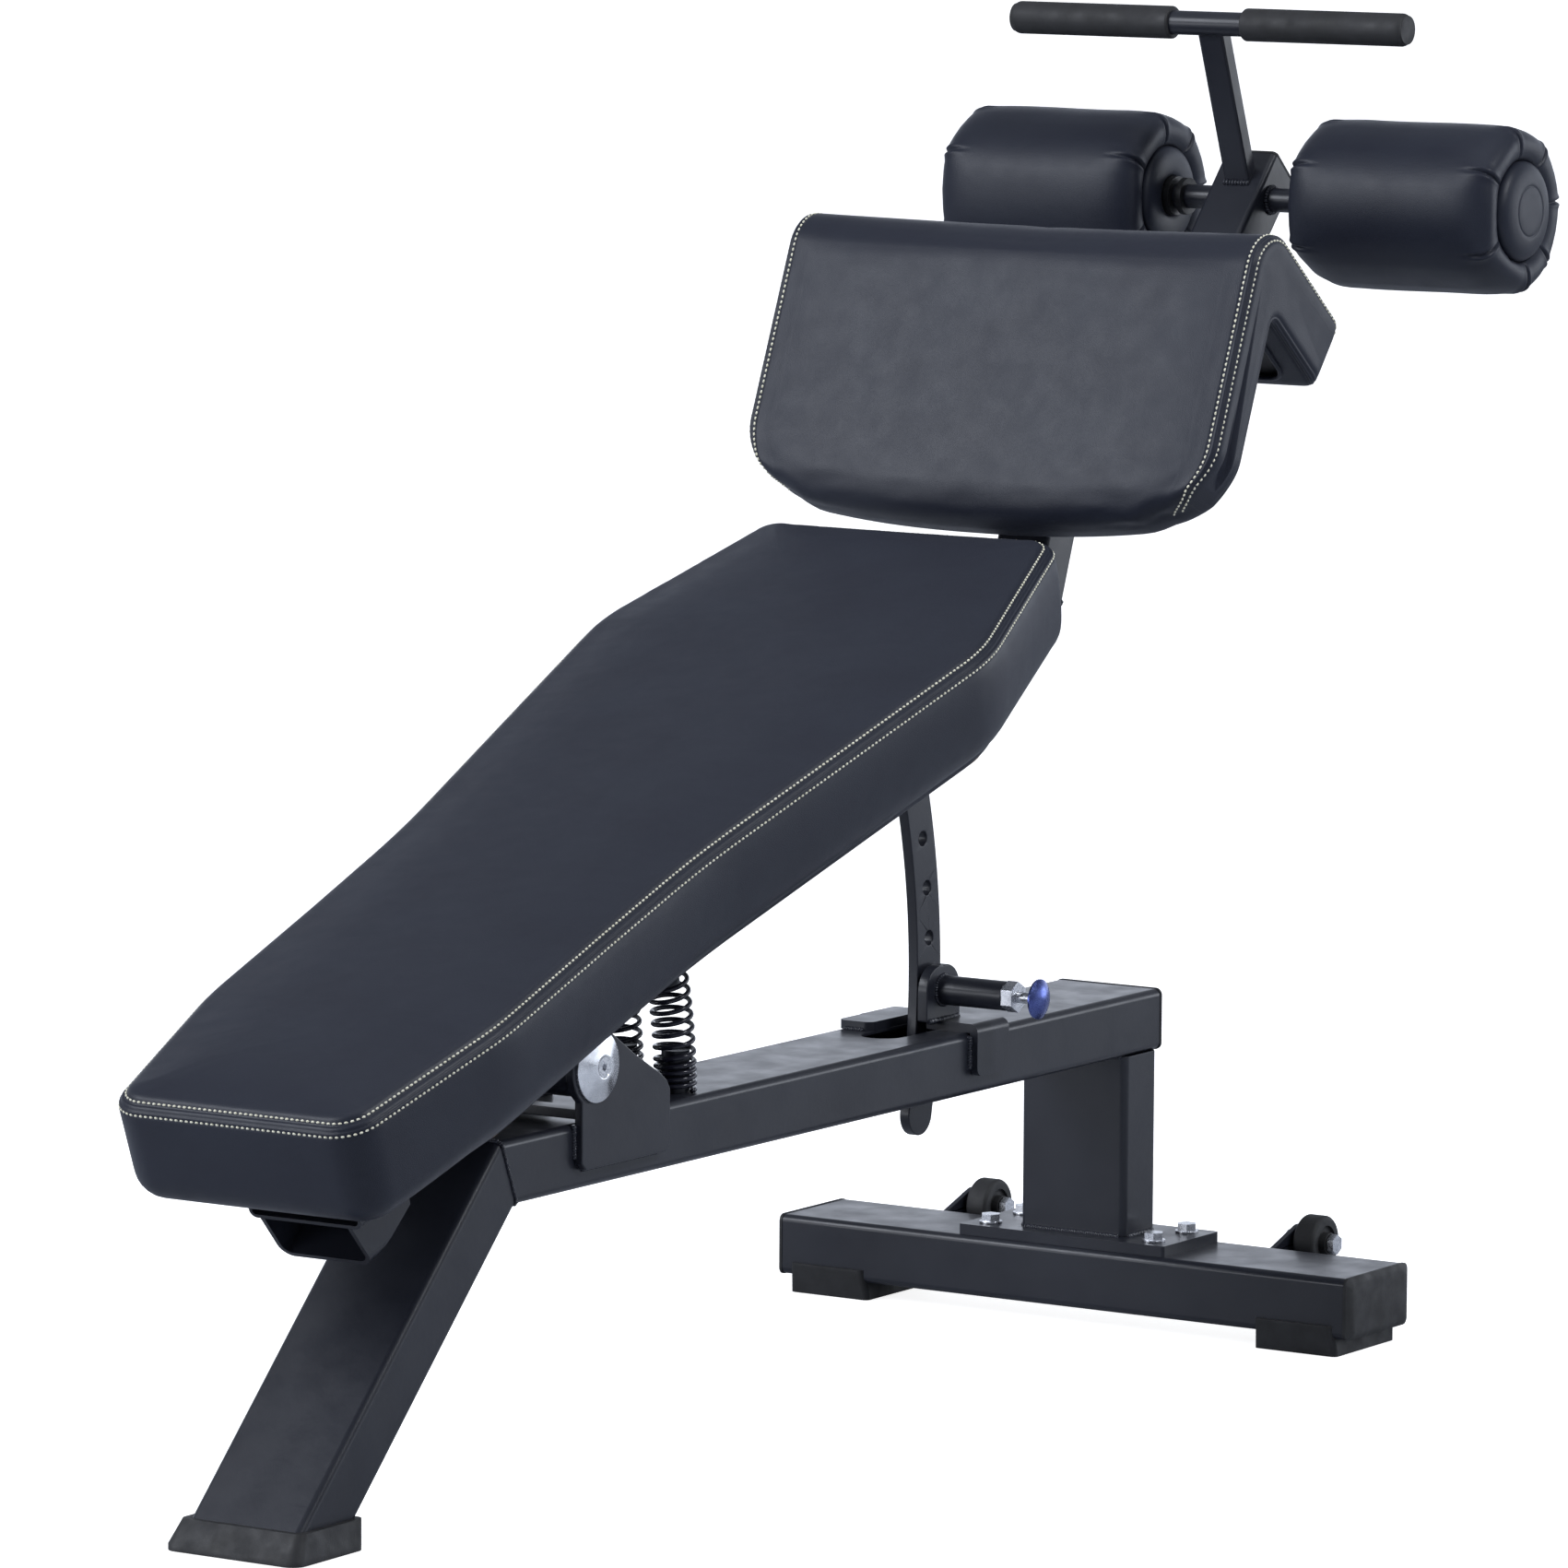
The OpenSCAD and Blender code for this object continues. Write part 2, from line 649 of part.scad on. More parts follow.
module pad_bolts() color(zinc) bench() for (p = bolt_places, s = side_of)
    translate([s * p[0], p[1], spine_under - 5.3]) {
        hex(13, 5.3);
        cylinder(d = 8, h = pad_under - spine_under + 15);
    }

module arm_section() tube_section(arm_w, arm_h, 5, wall);

// Everything past a mitre plane through [u, w]
module beyond(u, w, angle) translate([0, u, w]) rotate([angle, 0, 0])
    translate([-100, 0, -300]) cube([200, 900, 600]);

// Neck under the rear of the pad and riser, mitred together
module riser_tube() color(steel) bench() {
    difference() {
        translate([0, 0, neck_mid]) along_y(spine_rear, riser_u + 60) arm_section();
        beyond(riser_u, neck_mid, riser_slope / 2);
    }
    difference() {
        intersection() {
            translate([0, riser_u, neck_mid]) rotate([riser_slope, 0, 0]) along_y(-60, 260) arm_section();
            beyond(riser_u, neck_mid, riser_slope / 2);
        }
        translate([-100, 600, riser_end]) cube([200, 700, 300]);
    }
}

// Web and bent plate that carry the thigh pad's board
module knee_bracket() color(steel) bench() {
    along_x(-60, 60) vee(knee_recess - 5, knee_recess, knee_recess, 120, 60, 0, 0);
    difference() {
        along_x(-6, 6) intersection() {
            a = [knee_u, knee_w];
            polygon([
                vee_apex(a, knee_front, knee_back, knee_recess - 5, knee_recess - 5),
                vee_front(a, knee_front, 110, knee_recess - 5),
                [880, riser_end], [962, riser_end], vee_back(a, knee_back, 60, knee_recess - 5)
            ]);
            translate([800, riser_end]) square([300, 200]);
        }
        translate([0, riser_u, neck_mid]) rotate([riser_slope, 0, 0]) along_y(-60, 140)
            square([arm_w + 1, arm_h], center = true);
    }
}

// What rounding by r takes off the lower corners of a front flank, half wide to each side and long
module flank_corners(half, long, r) translate([0, knee_u, knee_w]) rotate([knee_front, 0, 0])
    translate([0, 0, -60]) linear_extrude(160) for (s = side_of) difference() {
        translate([s > 0 ? half - r : -half - 10, -long - 10]) square([r + 10, r + 10]);
        translate([s * (half - r), r - long]) circle(r + 0.002);
    }

// Board let into the underside of the cushion
module knee_pad_board() color([0.10, 0.10, 0.12]) bench() difference() {
    along_x(-knee_half + 30, knee_half - 30)
        vee(knee_recess, knee_board, knee_board, knee_long - 25, knee_short - 18, 0, 0);
    flank_corners(knee_half - 30, knee_long - 25, 60);
}

// Cushion folded over the V board, with a pocket for it
module knee_pad() color(hide) bench() difference() {
    along_x(-knee_half, knee_half) vee(0, 50, 66, knee_long, knee_short, 14, 34);
    flank_corners(knee_half, knee_long, 70);
    difference() {
        along_x(-knee_half + 29.6, knee_half - 29.6)
            vee(-20, knee_board + 0.3, knee_board + 0.3, knee_long - 24.6, knee_short - 17.6, 0, 0);
        flank_corners(knee_half - 29.6, knee_long - 24.6, 60);
    }
}

// Level tube off the back of the riser, bent up to the ankle rollers
module roller_arm() color(steel) bench() difference() {
    union() {
        difference() {
            translate([0, 0, arm_level]) along_y(880, arm_bend_u + 40) arm_section();
            beyond(arm_bend_u, arm_level, arm_slope / 2);
            translate([0, riser_u, neck_mid]) rotate([riser_slope, 0, 0])
                translate([-100, -100, -arm_h / 2]) cube([200, 600, 400]);
        }
        intersection() {
            translate([0, arm_bend_u, arm_level]) rotate([arm_slope, 0, 0])
                along_y(-40, norm([roller_u - arm_bend_u, roller_w - arm_level]) + arm_tip) arm_section();
            beyond(arm_bend_u, arm_level, arm_slope / 2);
        }
    }
    translate([0, roller_u, roller_w]) rod_x(roller_shaft_d, -40, 40);
}

module arm_end_cap() color(rubber) bench() translate([0, arm_bend_u, arm_level]) rotate([arm_slope, 0, 0])
    translate([0, norm([roller_u - arm_bend_u, roller_w - arm_level]) + arm_tip, 0]) rotate([-90, 0, 0]) {
        linear_extrude(2.5) round_rect(arm_w, arm_h, 5);
        translate([0, 0, -8]) linear_extrude(8)
            tube_section(arm_w - 2 * wall - 0.4, arm_h - 2 * wall - 0.4, 2, 2);
    }

// Upright of the hand bar, square to the pad, coped over the bar
module handle_upright() color(steel) bench() difference() {
    translate([0, post_u, 0]) linear_extrude(bar_w) tube_section(26, 16, 2.5, 2);
    translate([0, bar_u, bar_w]) rod_x(bar_d, -30, 30);
    translate([0, arm_bend_u, arm_level]) rotate([arm_slope, 0, 0])
        translate([-100, -300, -400]) cube([200, 900, 400 + arm_h / 2]);
}

module handle_bar() color(steel) bench() translate([0, bar_u, bar_w])
    ring_x(bar_d, bar_d - 5, -bar_half + 4, bar_half - 4);

// Rubber sleeve closed by a rounded end
module grip(s) translate([0, bar_u, bar_w]) mirror([s < 0 ? 1 : 0, 0, 0]) difference() {
    rotate([0, 90, 0]) rotate_extrude() {
        translate([0, 38]) square([grip_d / 2 - 2, bar_half - 38]);
        translate([0, 40]) square([grip_d / 2, bar_half - 46]);
        translate([grip_d / 2 - 2, 40]) circle(2);
        translate([0, bar_half - 6]) square([grip_d / 2 - 6, 6]);
        translate([grip_d / 2 - 6, bar_half - 6]) circle(6);
    }
    rod_x(bar_d, 0, bar_half - 4);
    translate([-300, -100, -100]) cube([300, 200, 200]);
}

module grip_left() color(rubber) bench() grip(-1);
module grip_right() color(rubber) bench() grip(1);

// ---------- ankle rollers ----------

module roller_shaft() color(zinc) bench() translate([0, roller_u, roller_w])
    rod_x(roller_shaft_d, -roller_out + 8, roller_out - 8);

module shaft_washers() color(rubber) bench() for (s = side_of)
    translate([0, roller_u, roller_w]) mirror([s < 0 ? 1 : 0, 0, 0]) {
        ring_x(34, roller_shaft_d, 60, 66);
    }

// Hard core of a roller, running on the shaft
module roller_core(s) color(rubber) bench() translate([0, roller_u, roller_w]) mirror([s < 0 ? 1 : 0, 0, 0])
    ring_x(2 * core_r, roller_shaft_d + 2 * play, roller_in - 8, roller_out - 6);
module roller_core_left() roller_core(-1);
module roller_core_right() roller_core(1);

// Foam roller with rounded shoulders
module roller_pad(s) color(hide) bench() translate([0, roller_u, roller_w]) mirror([s < 0 ? 1 : 0, 0, 0])
    rotate([0, 90, 0]) rotate_extrude() {
        translate([core_r, roller_in]) square([roller_r - 14 - core_r, roller_out - roller_in]);
        translate([core_r, roller_in + 14]) square([roller_r - core_r, roller_out - roller_in - 28]);
        for (x = [roller_in + 14, roller_out - 14]) translate([roller_r - 14, x]) circle(14);
    }
module roller_pad_left() roller_pad(-1);
module roller_pad_right() roller_pad(1);

// Domed discs that close the two ends of a roller
module roller_discs(s) color(hide) bench() translate([0, roller_u, roller_w]) mirror([s < 0 ? 1 : 0, 0, 0])
    rotate([0, 90, 0]) rotate_extrude() {
        translate([core_r, roller_in - 6]) square([18, 6]);
        translate([core_r, roller_in - 3]) square([26, 3]);
        translate([core_r + 18, roller_in - 3]) circle(3);
        translate([core_r, roller_out]) square([24, 3]);
        translate([0, roller_out - 6 + e]) square([core_r, 6]);
        translate([0, roller_out]) square([core_r + e, 6]);
        translate([core_r, roller_out + 2]) square([16, 4]);
    }
module roller_discs_left() roller_discs(-1);
module roller_discs_right() roller_discs(1);

// ---------- output ----------

main_beam();
front_leg();
rear_post();
flange_plate();
base_cross_tube();
beam_end_cap();
base_end_caps();
front_boot();
base_feet();
flange_bolts();
flange_washers();
flange_nuts();
wheel_brackets();
wheel_axles();
wheel_nuts();
wheel_left();
wheel_right();
pivot_ear_left();
pivot_ear_right();
ear_cross_plate();
pivot_shaft();
pivot_caps();
pivot_screws();
saddle_bracket();
pin_lug();
pin_barrel();
barrel_nut();
pin_spring();
lock_pin();
pin_knob();
spring_lower_posts();
assist_spring_left();
assist_spring_right();
spring_upper_posts();
pad_spine();
head_end_bracket();
pivot_hub();
pivot_bushes();
sector_plate();
main_pad_board();
main_pad();
pad_bolts();
riser_tube();
knee_bracket();
knee_pad_board();
knee_pad();
roller_arm();
arm_end_cap();
handle_upright();
handle_bar();
grip_left();
grip_right();
roller_shaft();
shaft_washers();
roller_core_left();
roller_core_right();
roller_pad_left();
roller_pad_right();
roller_discs_left();
roller_discs_right();
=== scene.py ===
"""Looks of a decline sit-up bench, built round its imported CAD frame."""
import json
import math

import bmesh
import bpy
import numpy as np
from mathutils import Matrix, Vector
from mathutils.bvhtree import BVHTree
from mathutils.kdtree import KDTree


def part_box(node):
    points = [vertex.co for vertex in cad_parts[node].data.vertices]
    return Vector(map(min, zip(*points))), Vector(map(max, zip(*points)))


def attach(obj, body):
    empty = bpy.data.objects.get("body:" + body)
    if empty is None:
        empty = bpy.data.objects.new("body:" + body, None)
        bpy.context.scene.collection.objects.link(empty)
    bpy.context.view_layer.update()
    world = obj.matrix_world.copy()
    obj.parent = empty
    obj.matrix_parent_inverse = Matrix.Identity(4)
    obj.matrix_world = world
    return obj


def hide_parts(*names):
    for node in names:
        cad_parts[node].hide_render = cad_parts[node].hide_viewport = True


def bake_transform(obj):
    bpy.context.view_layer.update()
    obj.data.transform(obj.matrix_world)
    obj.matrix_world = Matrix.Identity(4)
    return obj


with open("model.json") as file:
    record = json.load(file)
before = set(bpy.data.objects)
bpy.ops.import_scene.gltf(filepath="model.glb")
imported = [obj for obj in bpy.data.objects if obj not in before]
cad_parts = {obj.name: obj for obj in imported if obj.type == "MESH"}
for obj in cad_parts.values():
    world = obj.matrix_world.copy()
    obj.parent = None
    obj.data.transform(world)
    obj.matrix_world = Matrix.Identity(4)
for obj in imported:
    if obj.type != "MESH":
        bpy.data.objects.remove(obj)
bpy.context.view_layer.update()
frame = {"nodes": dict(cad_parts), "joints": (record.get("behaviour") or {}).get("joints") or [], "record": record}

SCENE = bpy.context.scene
NODES = frame["nodes"]
MM = 0.001
TAU = 2 * math.pi
X_AXIS, Y_AXIS, Z_AXIS = Vector((1, 0, 0)), Vector((0, 1, 0)), Vector((0, 0, 1))
JOINTS = {j["name"]: j for j in frame["joints"]}

# The bench's own frame at rest: x across, u along its spine from the pivot, w square to the spine
SLOPE = math.radians(20.8)
BENCH = Matrix.Translation(Vector(JOINTS["bench_tilt"]["pos_m"])) @ Matrix.Rotation(SLOPE, 4, "X")


def bench(x, u, w):
    """A place on the bench, given in millimetres, as a world point in metres."""
    return BENCH @ Vector((x * MM, u * MM, w * MM))


# ---------------------------------------------------------------- mesh helpers

def mesh_object(name, verts, faces, smooth=True):
    me = bpy.data.meshes.new(name)
    me.from_pydata([tuple(v) for v in verts], [], faces)
    me.validate()
    me.update()
    me.polygons.foreach_set("use_smooth", [smooth] * len(me.polygons))
    ob = bpy.data.objects.new(name, me)
    SCENE.collection.objects.link(ob)
    return ob


class Pile:
    """Vertices and faces of several small shapes gathered into one mesh."""

    def __init__(self):
        self.verts, self.faces = [], []

    def add(self, verts, faces):
        n = len(self.verts)
        self.verts += [tuple(v) for v in verts]
        self.faces += [tuple(i + n for i in f) for f in faces]

    def object(self, name):
        return mesh_object(name, self.verts, self.faces)


def grid_faces(rings, count):
    """Quads between closed rings of count vertices each."""
    out = []
    for r in range(rings - 1):
        for i in range(count):
            j = (i + 1) % count
            out.append((r * count + i, r * count + j, (r + 1) * count + j, (r + 1) * count + i))
    return out


def round_ring(centre, a, b, radius, sides):
    """Points round a circle that starts on direction a and turns towards b."""
    return [centre + a * (radius * math.cos(TAU * k / sides)) + b * (radius * math.sin(TAU * k / sides))
            for k in range(sides)]


def tube(points, radius, sides, closed=False):
    """A round tube swept along points, its rings carried along without twist."""
    pts = [Vector(p) for p in points]
    n = len(pts)
    tangents = []
    for i in range(n):
        a = pts[i - 1] if i or closed else pts[0]
        b = pts[(i + 1) % n] if i < n - 1 or closed else pts[-1]
        tangents.append((b - a).normalized())
    side = Vector((0.3, 0.2, 1)).cross(tangents[0]).normalized()
    verts = []
    for p, t in zip(pts, tangents):
        side = (side - t * side.dot(t)).normalized()
        verts += round_ring(p, side, t.cross(side), radius, sides)
    faces = grid_faces(n, sides)
    if closed:
        base = (n - 1) * sides
        for k in range(sides):
            m = (k + 1) % sides
            faces.append((base + k, base + m, m, k))
    else:
        faces.append(tuple(range(sides - 1, -1, -1)))
        faces.append(tuple(range((n - 1) * sides, n * sides)))
    return verts, faces


def polyline(points, pitch, closed=False):
    """Points every pitch along a line, and the direction at each."""
    pts = [Vector(p) for p in points]
    if closed:
        pts.append(pts[0])
    lengths = [0.0]
    for a, b in zip(pts, pts[1:]):
        lengths.append(lengths[-1] + (b - a).length)
    count = max(2, round(lengths[-1] / pitch))
    step = lengths[-1] / count
    out, j = [], 0
    for i in range(count + (0 if closed else 1)):
        d = min(i * step, lengths[-1] - 1e-9)
        while lengths[j + 1] < d:
            j += 1
        t = (d - lengths[j]) / max(lengths[j + 1] - lengths[j], 1e-12)
        out.append((pts[j].lerp(pts[j + 1], t), (pts[j + 1] - pts[j]).normalized()))
    return out


def smoothstep(a, b, x):
    t = min(1.0, max(0.0, (x - a) / (b - a)))
    return t * t * (3 - 2 * t)


# ---------------------------------------------------------------- materials

def new_material(name, color, roughness, metallic=0.0, **sockets):
    mat = bpy.data.materials.new(name)
    mat.use_nodes = True
    shader = mat.node_tree.nodes["Principled BSDF"]
    shader.inputs["Base Color"].default_value = (*color, 1)
    shader.inputs["Roughness"].default_value = roughness
    shader.inputs["Metallic"].default_value = metallic
    for key, value in sockets.items():
        shader.inputs[key.replace("_", " ")].default_value = value
    return mat, mat.node_tree, shader


def node(tree, kind, **values):
    n = tree.nodes.new(kind)
    for key, value in values.items():
        if hasattr(n, key):
            setattr(n, key, value)
        else:
            n.inputs[key.replace("_", " ")].default_value = value
    return n


def object_coords(tree, scale=(1, 1, 1)):
    """Object coordinates in metres."""
    coords = tree.nodes.new("ShaderNodeTexCoord")
    mapping = tree.nodes.new("ShaderNodeMapping")
    mapping.inputs["Scale"].default_value = scale
    tree.links.new(coords.outputs["Object"], mapping.inputs["Vector"])
    return mapping.outputs["Vector"]


def noise(tree, vector, scale, detail=3.0, rough=0.5):
    n = node(tree, "ShaderNodeTexNoise", Scale=scale, Detail=detail, Roughness=rough)
    tree.links.new(vector, n.inputs["Vector"])
    return n.outputs["Fac"]


def ranged(tree, value, lo, hi, from_lo=0.3, from_hi=0.7):
    n = node(tree, "ShaderNodeMapRange")
    n.inputs["From Min"].default_value = from_lo
    n.inputs["From Max"].default_value = from_hi
    n.inputs["To Min"].default_value = lo
    n.inputs["To Max"].default_value = hi
    tree.links.new(value, n.inputs["Value"])
    return n.outputs["Result"]


def tinted(tree, shader, value, dark, light):
    """Base colour between two tones."""
    ramp = tree.nodes.new("ShaderNodeValToRGB")
    ramp.color_ramp.elements[0].position = 0.3
    ramp.color_ramp.elements[1].position = 0.7
    ramp.color_ramp.elements[0].color = (*dark, 1)
    ramp.color_ramp.elements[1].color = (*light, 1)
    tree.links.new(value, ramp.inputs["Fac"])
    tree.links.new(ramp.outputs["Color"], shader.inputs["Base Color"])
    return ramp


def bump(tree, shader, *layers):
    """Stacks height fields: (height, strength, distance in metres)."""
    normal = None
    for height, strength, distance in layers:
        b = node(tree, "ShaderNodeBump", Strength=strength, Distance=distance)
        tree.links.new(height, b.inputs["Height"])
        if normal is not None:
            tree.links.new(normal, b.inputs["Normal"])
        normal = b.outputs["Normal"]
    tree.links.new(normal, shader.inputs["Normal"])


def powder_coat(name, dark, light, rough=0.34):
    mat, tree, shader = new_material(name, light, rough, Specular_IOR_Level=0.32,
                                     Coat_Weight=0.14, Coat_Roughness=0.16)
    v = object_coords(tree)
    tinted(tree, shader, noise(tree, v, 9, 4), dark, light)
    patches = noise(tree, v, 30, 4)
    tree.links.new(ranged(tree, patches, rough - 0.05, rough + 0.08), shader.inputs["Roughness"])
    orange_peel = noise(tree, v, 160, 2)
    grit = noise(tree, v, 900, 2)
    bump(tree, shader, (orange_peel, 0.12, 0.0006), (grit, 0.10, 0.00025))
    return mat


def leatherette(name, dark, light):
    mat, tree, shader = new_material(name, light, 0.42, Specular_IOR_Level=0.30,
                                     Sheen_Weight=0.02, Sheen_Roughness=0.5)
    v = object_coords(tree)
    tinted(tree, shader, noise(tree, v, 14, 5), dark, light)
    grain = node(tree, "ShaderNodeTexVoronoi", Scale=620.0)
    grain.feature = "DISTANCE_TO_EDGE"
    tree.links.new(v, grain.inputs["Vector"])
    cells = ranged(tree, grain.outputs["Distance"], 0, 1, 0.0, 0.25)
    pores = noise(tree, v, 1500, 2)
    waves = noise(tree, v, 22, 3)
    tree.links.new(ranged(tree, noise(tree, v, 45, 4), 0.40, 0.46), shader.inputs["Roughness"])
    bump(tree, shader, (waves, 0.03, 0.003), (cells, 0.16, 0.0003), (pores, 0.12, 0.0002))
    return mat


def moulded_rubber(name, tone, rough=0.62):
    mat, tree, shader = new_material(name, (tone, tone, tone * 1.08), rough, Specular_IOR_Level=0.4)
    v = object_coords(tree)
    light = (tone * 1.25, tone * 1.25, tone * 1.35)
    tinted(tree, shader, noise(tree, v, 40, 4), (tone * 0.8,) * 3, light)
    patches = noise(tree, v, 60, 4)
    tree.links.new(ranged(tree, patches, rough - 0.1, rough + 0.12), shader.inputs["Roughness"])
    bump(tree, shader, (noise(tree, v, 700, 3), 0.25, 0.0004))
    return mat


def plated(name, dark, light, rough=0.28, lines=None):
    """Zinc, turned aluminium and anodised finishes; lines stretches the grain into turning marks."""
    mat, tree, shader = new_material(name, light, rough, metallic=1.0)
    v = object_coords(tree)
    tinted(tree, shader, noise(tree, v, 120, 4), dark, light)
    grain = noise(tree, object_coords(tree, lines or (1, 1, 1)), 900 if lines else 600, 3)
    tree.links.new(ranged(tree, grain, rough - 0.08, rough + 0.12), shader.inputs["Roughness"])
    bump(tree, shader, (grain, 0.12, 0.0002))
    return mat


def plywood(name):
    mat, tree, shader = new_material(name, (0.30, 0.19, 0.10), 0.6)
    v = object_coords(tree, (8, 0.8, 60))
    rings = noise(tree, v, 14, 6, 0.6)
    tinted(tree, shader, rings, (0.20, 0.12, 0.06), (0.36, 0.24, 0.13))
    bump(tree, shader, (rings, 0.25, 0.0004))
    return mat


def thread(name):
    mat, tree, shader = new_material(name, (0.90, 0.87, 0.70), 0.55, Sheen_Weight=0.3)
    v = object_coords(tree)
    tinted(tree, shader, noise(tree, v, 260, 3), (0.80, 0.76, 0.56), (0.96, 0.93, 0.76))
    bump(tree, shader, (noise(tree, v, 2600, 2), 0.5, 0.0003))
    return mat


PAINT = powder_coat("powder coat", (0.014, 0.015, 0.021), (0.019, 0.021, 0.029))
# The welds wear the same powder coat, but in a lighter copy: the lighter base colour is a painted highlight that
# stands in for the bright glints on the glossy weld beads. Their low roughness is real gloss.
WELD = powder_coat("weld powder coat with painted highlight", (0.022, 0.024, 0.032), (0.035, 0.037, 0.048), rough=0.12)
HIDE = leatherette("leatherette", (0.012, 0.014, 0.024), (0.015, 0.018, 0.029))
RUBBER = moulded_rubber("moulded rubber", 0.020)
PLASTIC = moulded_rubber("moulded plastic", 0.012, 0.45)
ZINC = plated("zinc plate", (0.50, 0.51, 0.54), (0.72, 0.73, 0.76))
ALUMINIUM = plated("turned aluminium", (0.74, 0.75, 0.78), (0.90, 0.91, 0.93), rough=0.20,
                   lines=(0.05, 1, 1))
BLUE = plated("blue anodised", (0.08, 0.10, 0.30), (0.13, 0.17, 0.42), rough=0.25)
BRONZE = plated("bronze", (0.40, 0.27, 0.11), (0.55, 0.38, 0.18), rough=0.30)
ENAMEL = powder_coat("spring enamel", (0.010, 0.010, 0.016), (0.016, 0.016, 0.026), rough=0.18)
WOOD = plywood("plywood")
THREAD = thread("stitching thread")

SLOT_MATERIAL = {
    "frame_paint": PAINT, "black_rubber": RUBBER, "black_plastic": PLASTIC, "zinc_plate": ZINC,
    "turned_aluminium": ALUMINIUM, "blue_anodised": BLUE, "bronze": BRONZE, "black_spring": ENAMEL,
    "upholstery": HIDE, "plywood": WOOD,
}
NODE_SLOT = {s["node"]: s["material_slot"] for s in frame["record"]["subparts"]}


def give(ob, material, body=None):
    """Material, slot and, unless the piece is blended between two, the body it rides."""
    ob.data.materials.clear()
    ob.data.materials.append(material)
    if body:
        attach(ob, body)


def join_close(ob, distance):
    """Merges the vertices that lie within distance of each other, in metres."""
    weld = ob.modifiers.new("join", "WELD")
    weld.merge_threshold = distance


# ---------------------------------------------------------------- CAD nodes

# Edge rounding in millimetres, where a part's edges show
BEVEL_MM = {
    "main_beam": 0.5, "front_leg": 0.5, "rear_post": 0.5, "flange_plate": 1.2, "base_cross_tube": 0.5,
    "saddle_bracket": 1.2, "pin_lug": 1.0, "pivot_ear_left": 1.2, "pivot_ear_right": 1.2,
    "ear_cross_plate": 1.0, "sector_plate": 1.0, "head_end_bracket": 0.8, "knee_bracket": 0.8,
    "wheel_brackets": 0.8, "pivot_caps": 0.5, "handle_upright": 0.4, "roller_arm": 0.5, "riser_tube": 0.5,
}


def dress_nodes():
    """Material, merged vertices, rounded edges and clean normals for every CAD part."""
    for name, ob in NODES.items():
        ob.data.materials.clear()
        ob.data.materials.append(SLOT_MATERIAL[NODE_SLOT[name]])
        ob.data.polygons.foreach_set("use_smooth", [True] * len(ob.data.polygons))
        join_close(ob, 0.00001)
        if name.startswith("pivot_ear"):
            # the plate's thin triangles would shade as cracks
            flat = ob.modifiers.new("flat", "DECIMATE")
            flat.decimate_type = "DISSOLVE"
            flat.angle_limit = math.radians(0.3)
        bevel = ob.modifiers.new("edges", "BEVEL")
        bevel.width = BEVEL_MM.get(name, 0.3) * MM
        bevel.segments = 2
        bevel.limit_method = "ANGLE"
        bevel.angle_limit = math.radians(40)
        bevel.harden_normals = False
        normals = ob.modifiers.new("normals", "WEIGHTED_NORMAL")
        normals.keep_sharp = True


dress_nodes()


# ---------------------------------------------------------------- outlines, cloth and stitches

def inset_loop(corners, inset, counts, smallest=5.0):
    """A closed outline of straight runs and arcs, every edge moved in by inset.
    corners are (x, y, radius), anticlockwise; counts are (arc steps, run steps) for each corner."""
    n = len(corners)
    edges = []
    for i in range(n):
        (ax, ay, _), (bx, by, _) = corners[i], corners[(i + 1) % n]
        length = math.hypot(bx - ax, by - ay)
        dx, dy = (bx - ax) / length, (by - ay) / length
        edges.append((ax - dy * inset, ay + dx * inset, dx, dy))
    spots = []
    for i in range(n):
        px, py, dx, dy = edges[i - 1]
        qx, qy, ex, ey = edges[i]
        cross = dx * ey - dy * ex
        t = ((qx - px) * ey - (qy - py) * ex) / cross
        vx, vy = px + dx * t, py + dy * t
        turn = math.atan2(cross, dx * ex + dy * ey)
        side = 1 if turn > 0 else -1
        radius = max(corners[i][2] - side * inset, smallest)
        reach = radius * math.tan(abs(turn) / 2)
        start = (vx - dx * reach, vy - dy * reach)
        centre = (start[0] - side * radius * dy, start[1] + side * radius * dx)
        arc = []
        for k in range(counts[i][0] + 1):
            a = side * abs(turn) * k / counts[i][0]
            nx, ny = dy * math.cos(a) + dx * math.sin(a), -dx * math.cos(a) + dy * math.sin(a)
            arc.append((centre[0] + side * radius * nx, centre[1] + side * radius * ny))
        spots.append(arc)
    out = []
    for i in range(n):
        out += spots[i]
        a, b = spots[i][-1], spots[(i + 1) % n][0]
        steps = counts[i][1]
        out += [(a[0] + (b[0] - a[0]) * k / steps, a[1] + (b[1] - a[1]) * k / steps)
                for k in range(1, steps)]
    return out


def loop_counts(corners, step):
    """Arc and run steps for inset_loop, so that every inset of one outline has as many points."""
    n = len(corners)
    out = []
    for i in range(n):
        a, b, c = corners[i - 1], corners[i], corners[(i + 1) % n]
        turn = abs(math.atan2(
            (b[0] - a[0]) * (c[1] - b[1]) - (b[1] - a[1]) * (c[0] - b[0]),
            (b[0] - a[0]) * (c[0] - b[0]) + (b[1] - a[1]) * (c[1] - b[1])))
        arc = max(4, round(b[2] * turn / (step * 0.7)))
        out.append((arc, max(2, round(math.hypot(c[0] - b[0], c[1] - b[1]) / step))))
    return out


CLOTH_FRAMES = 20


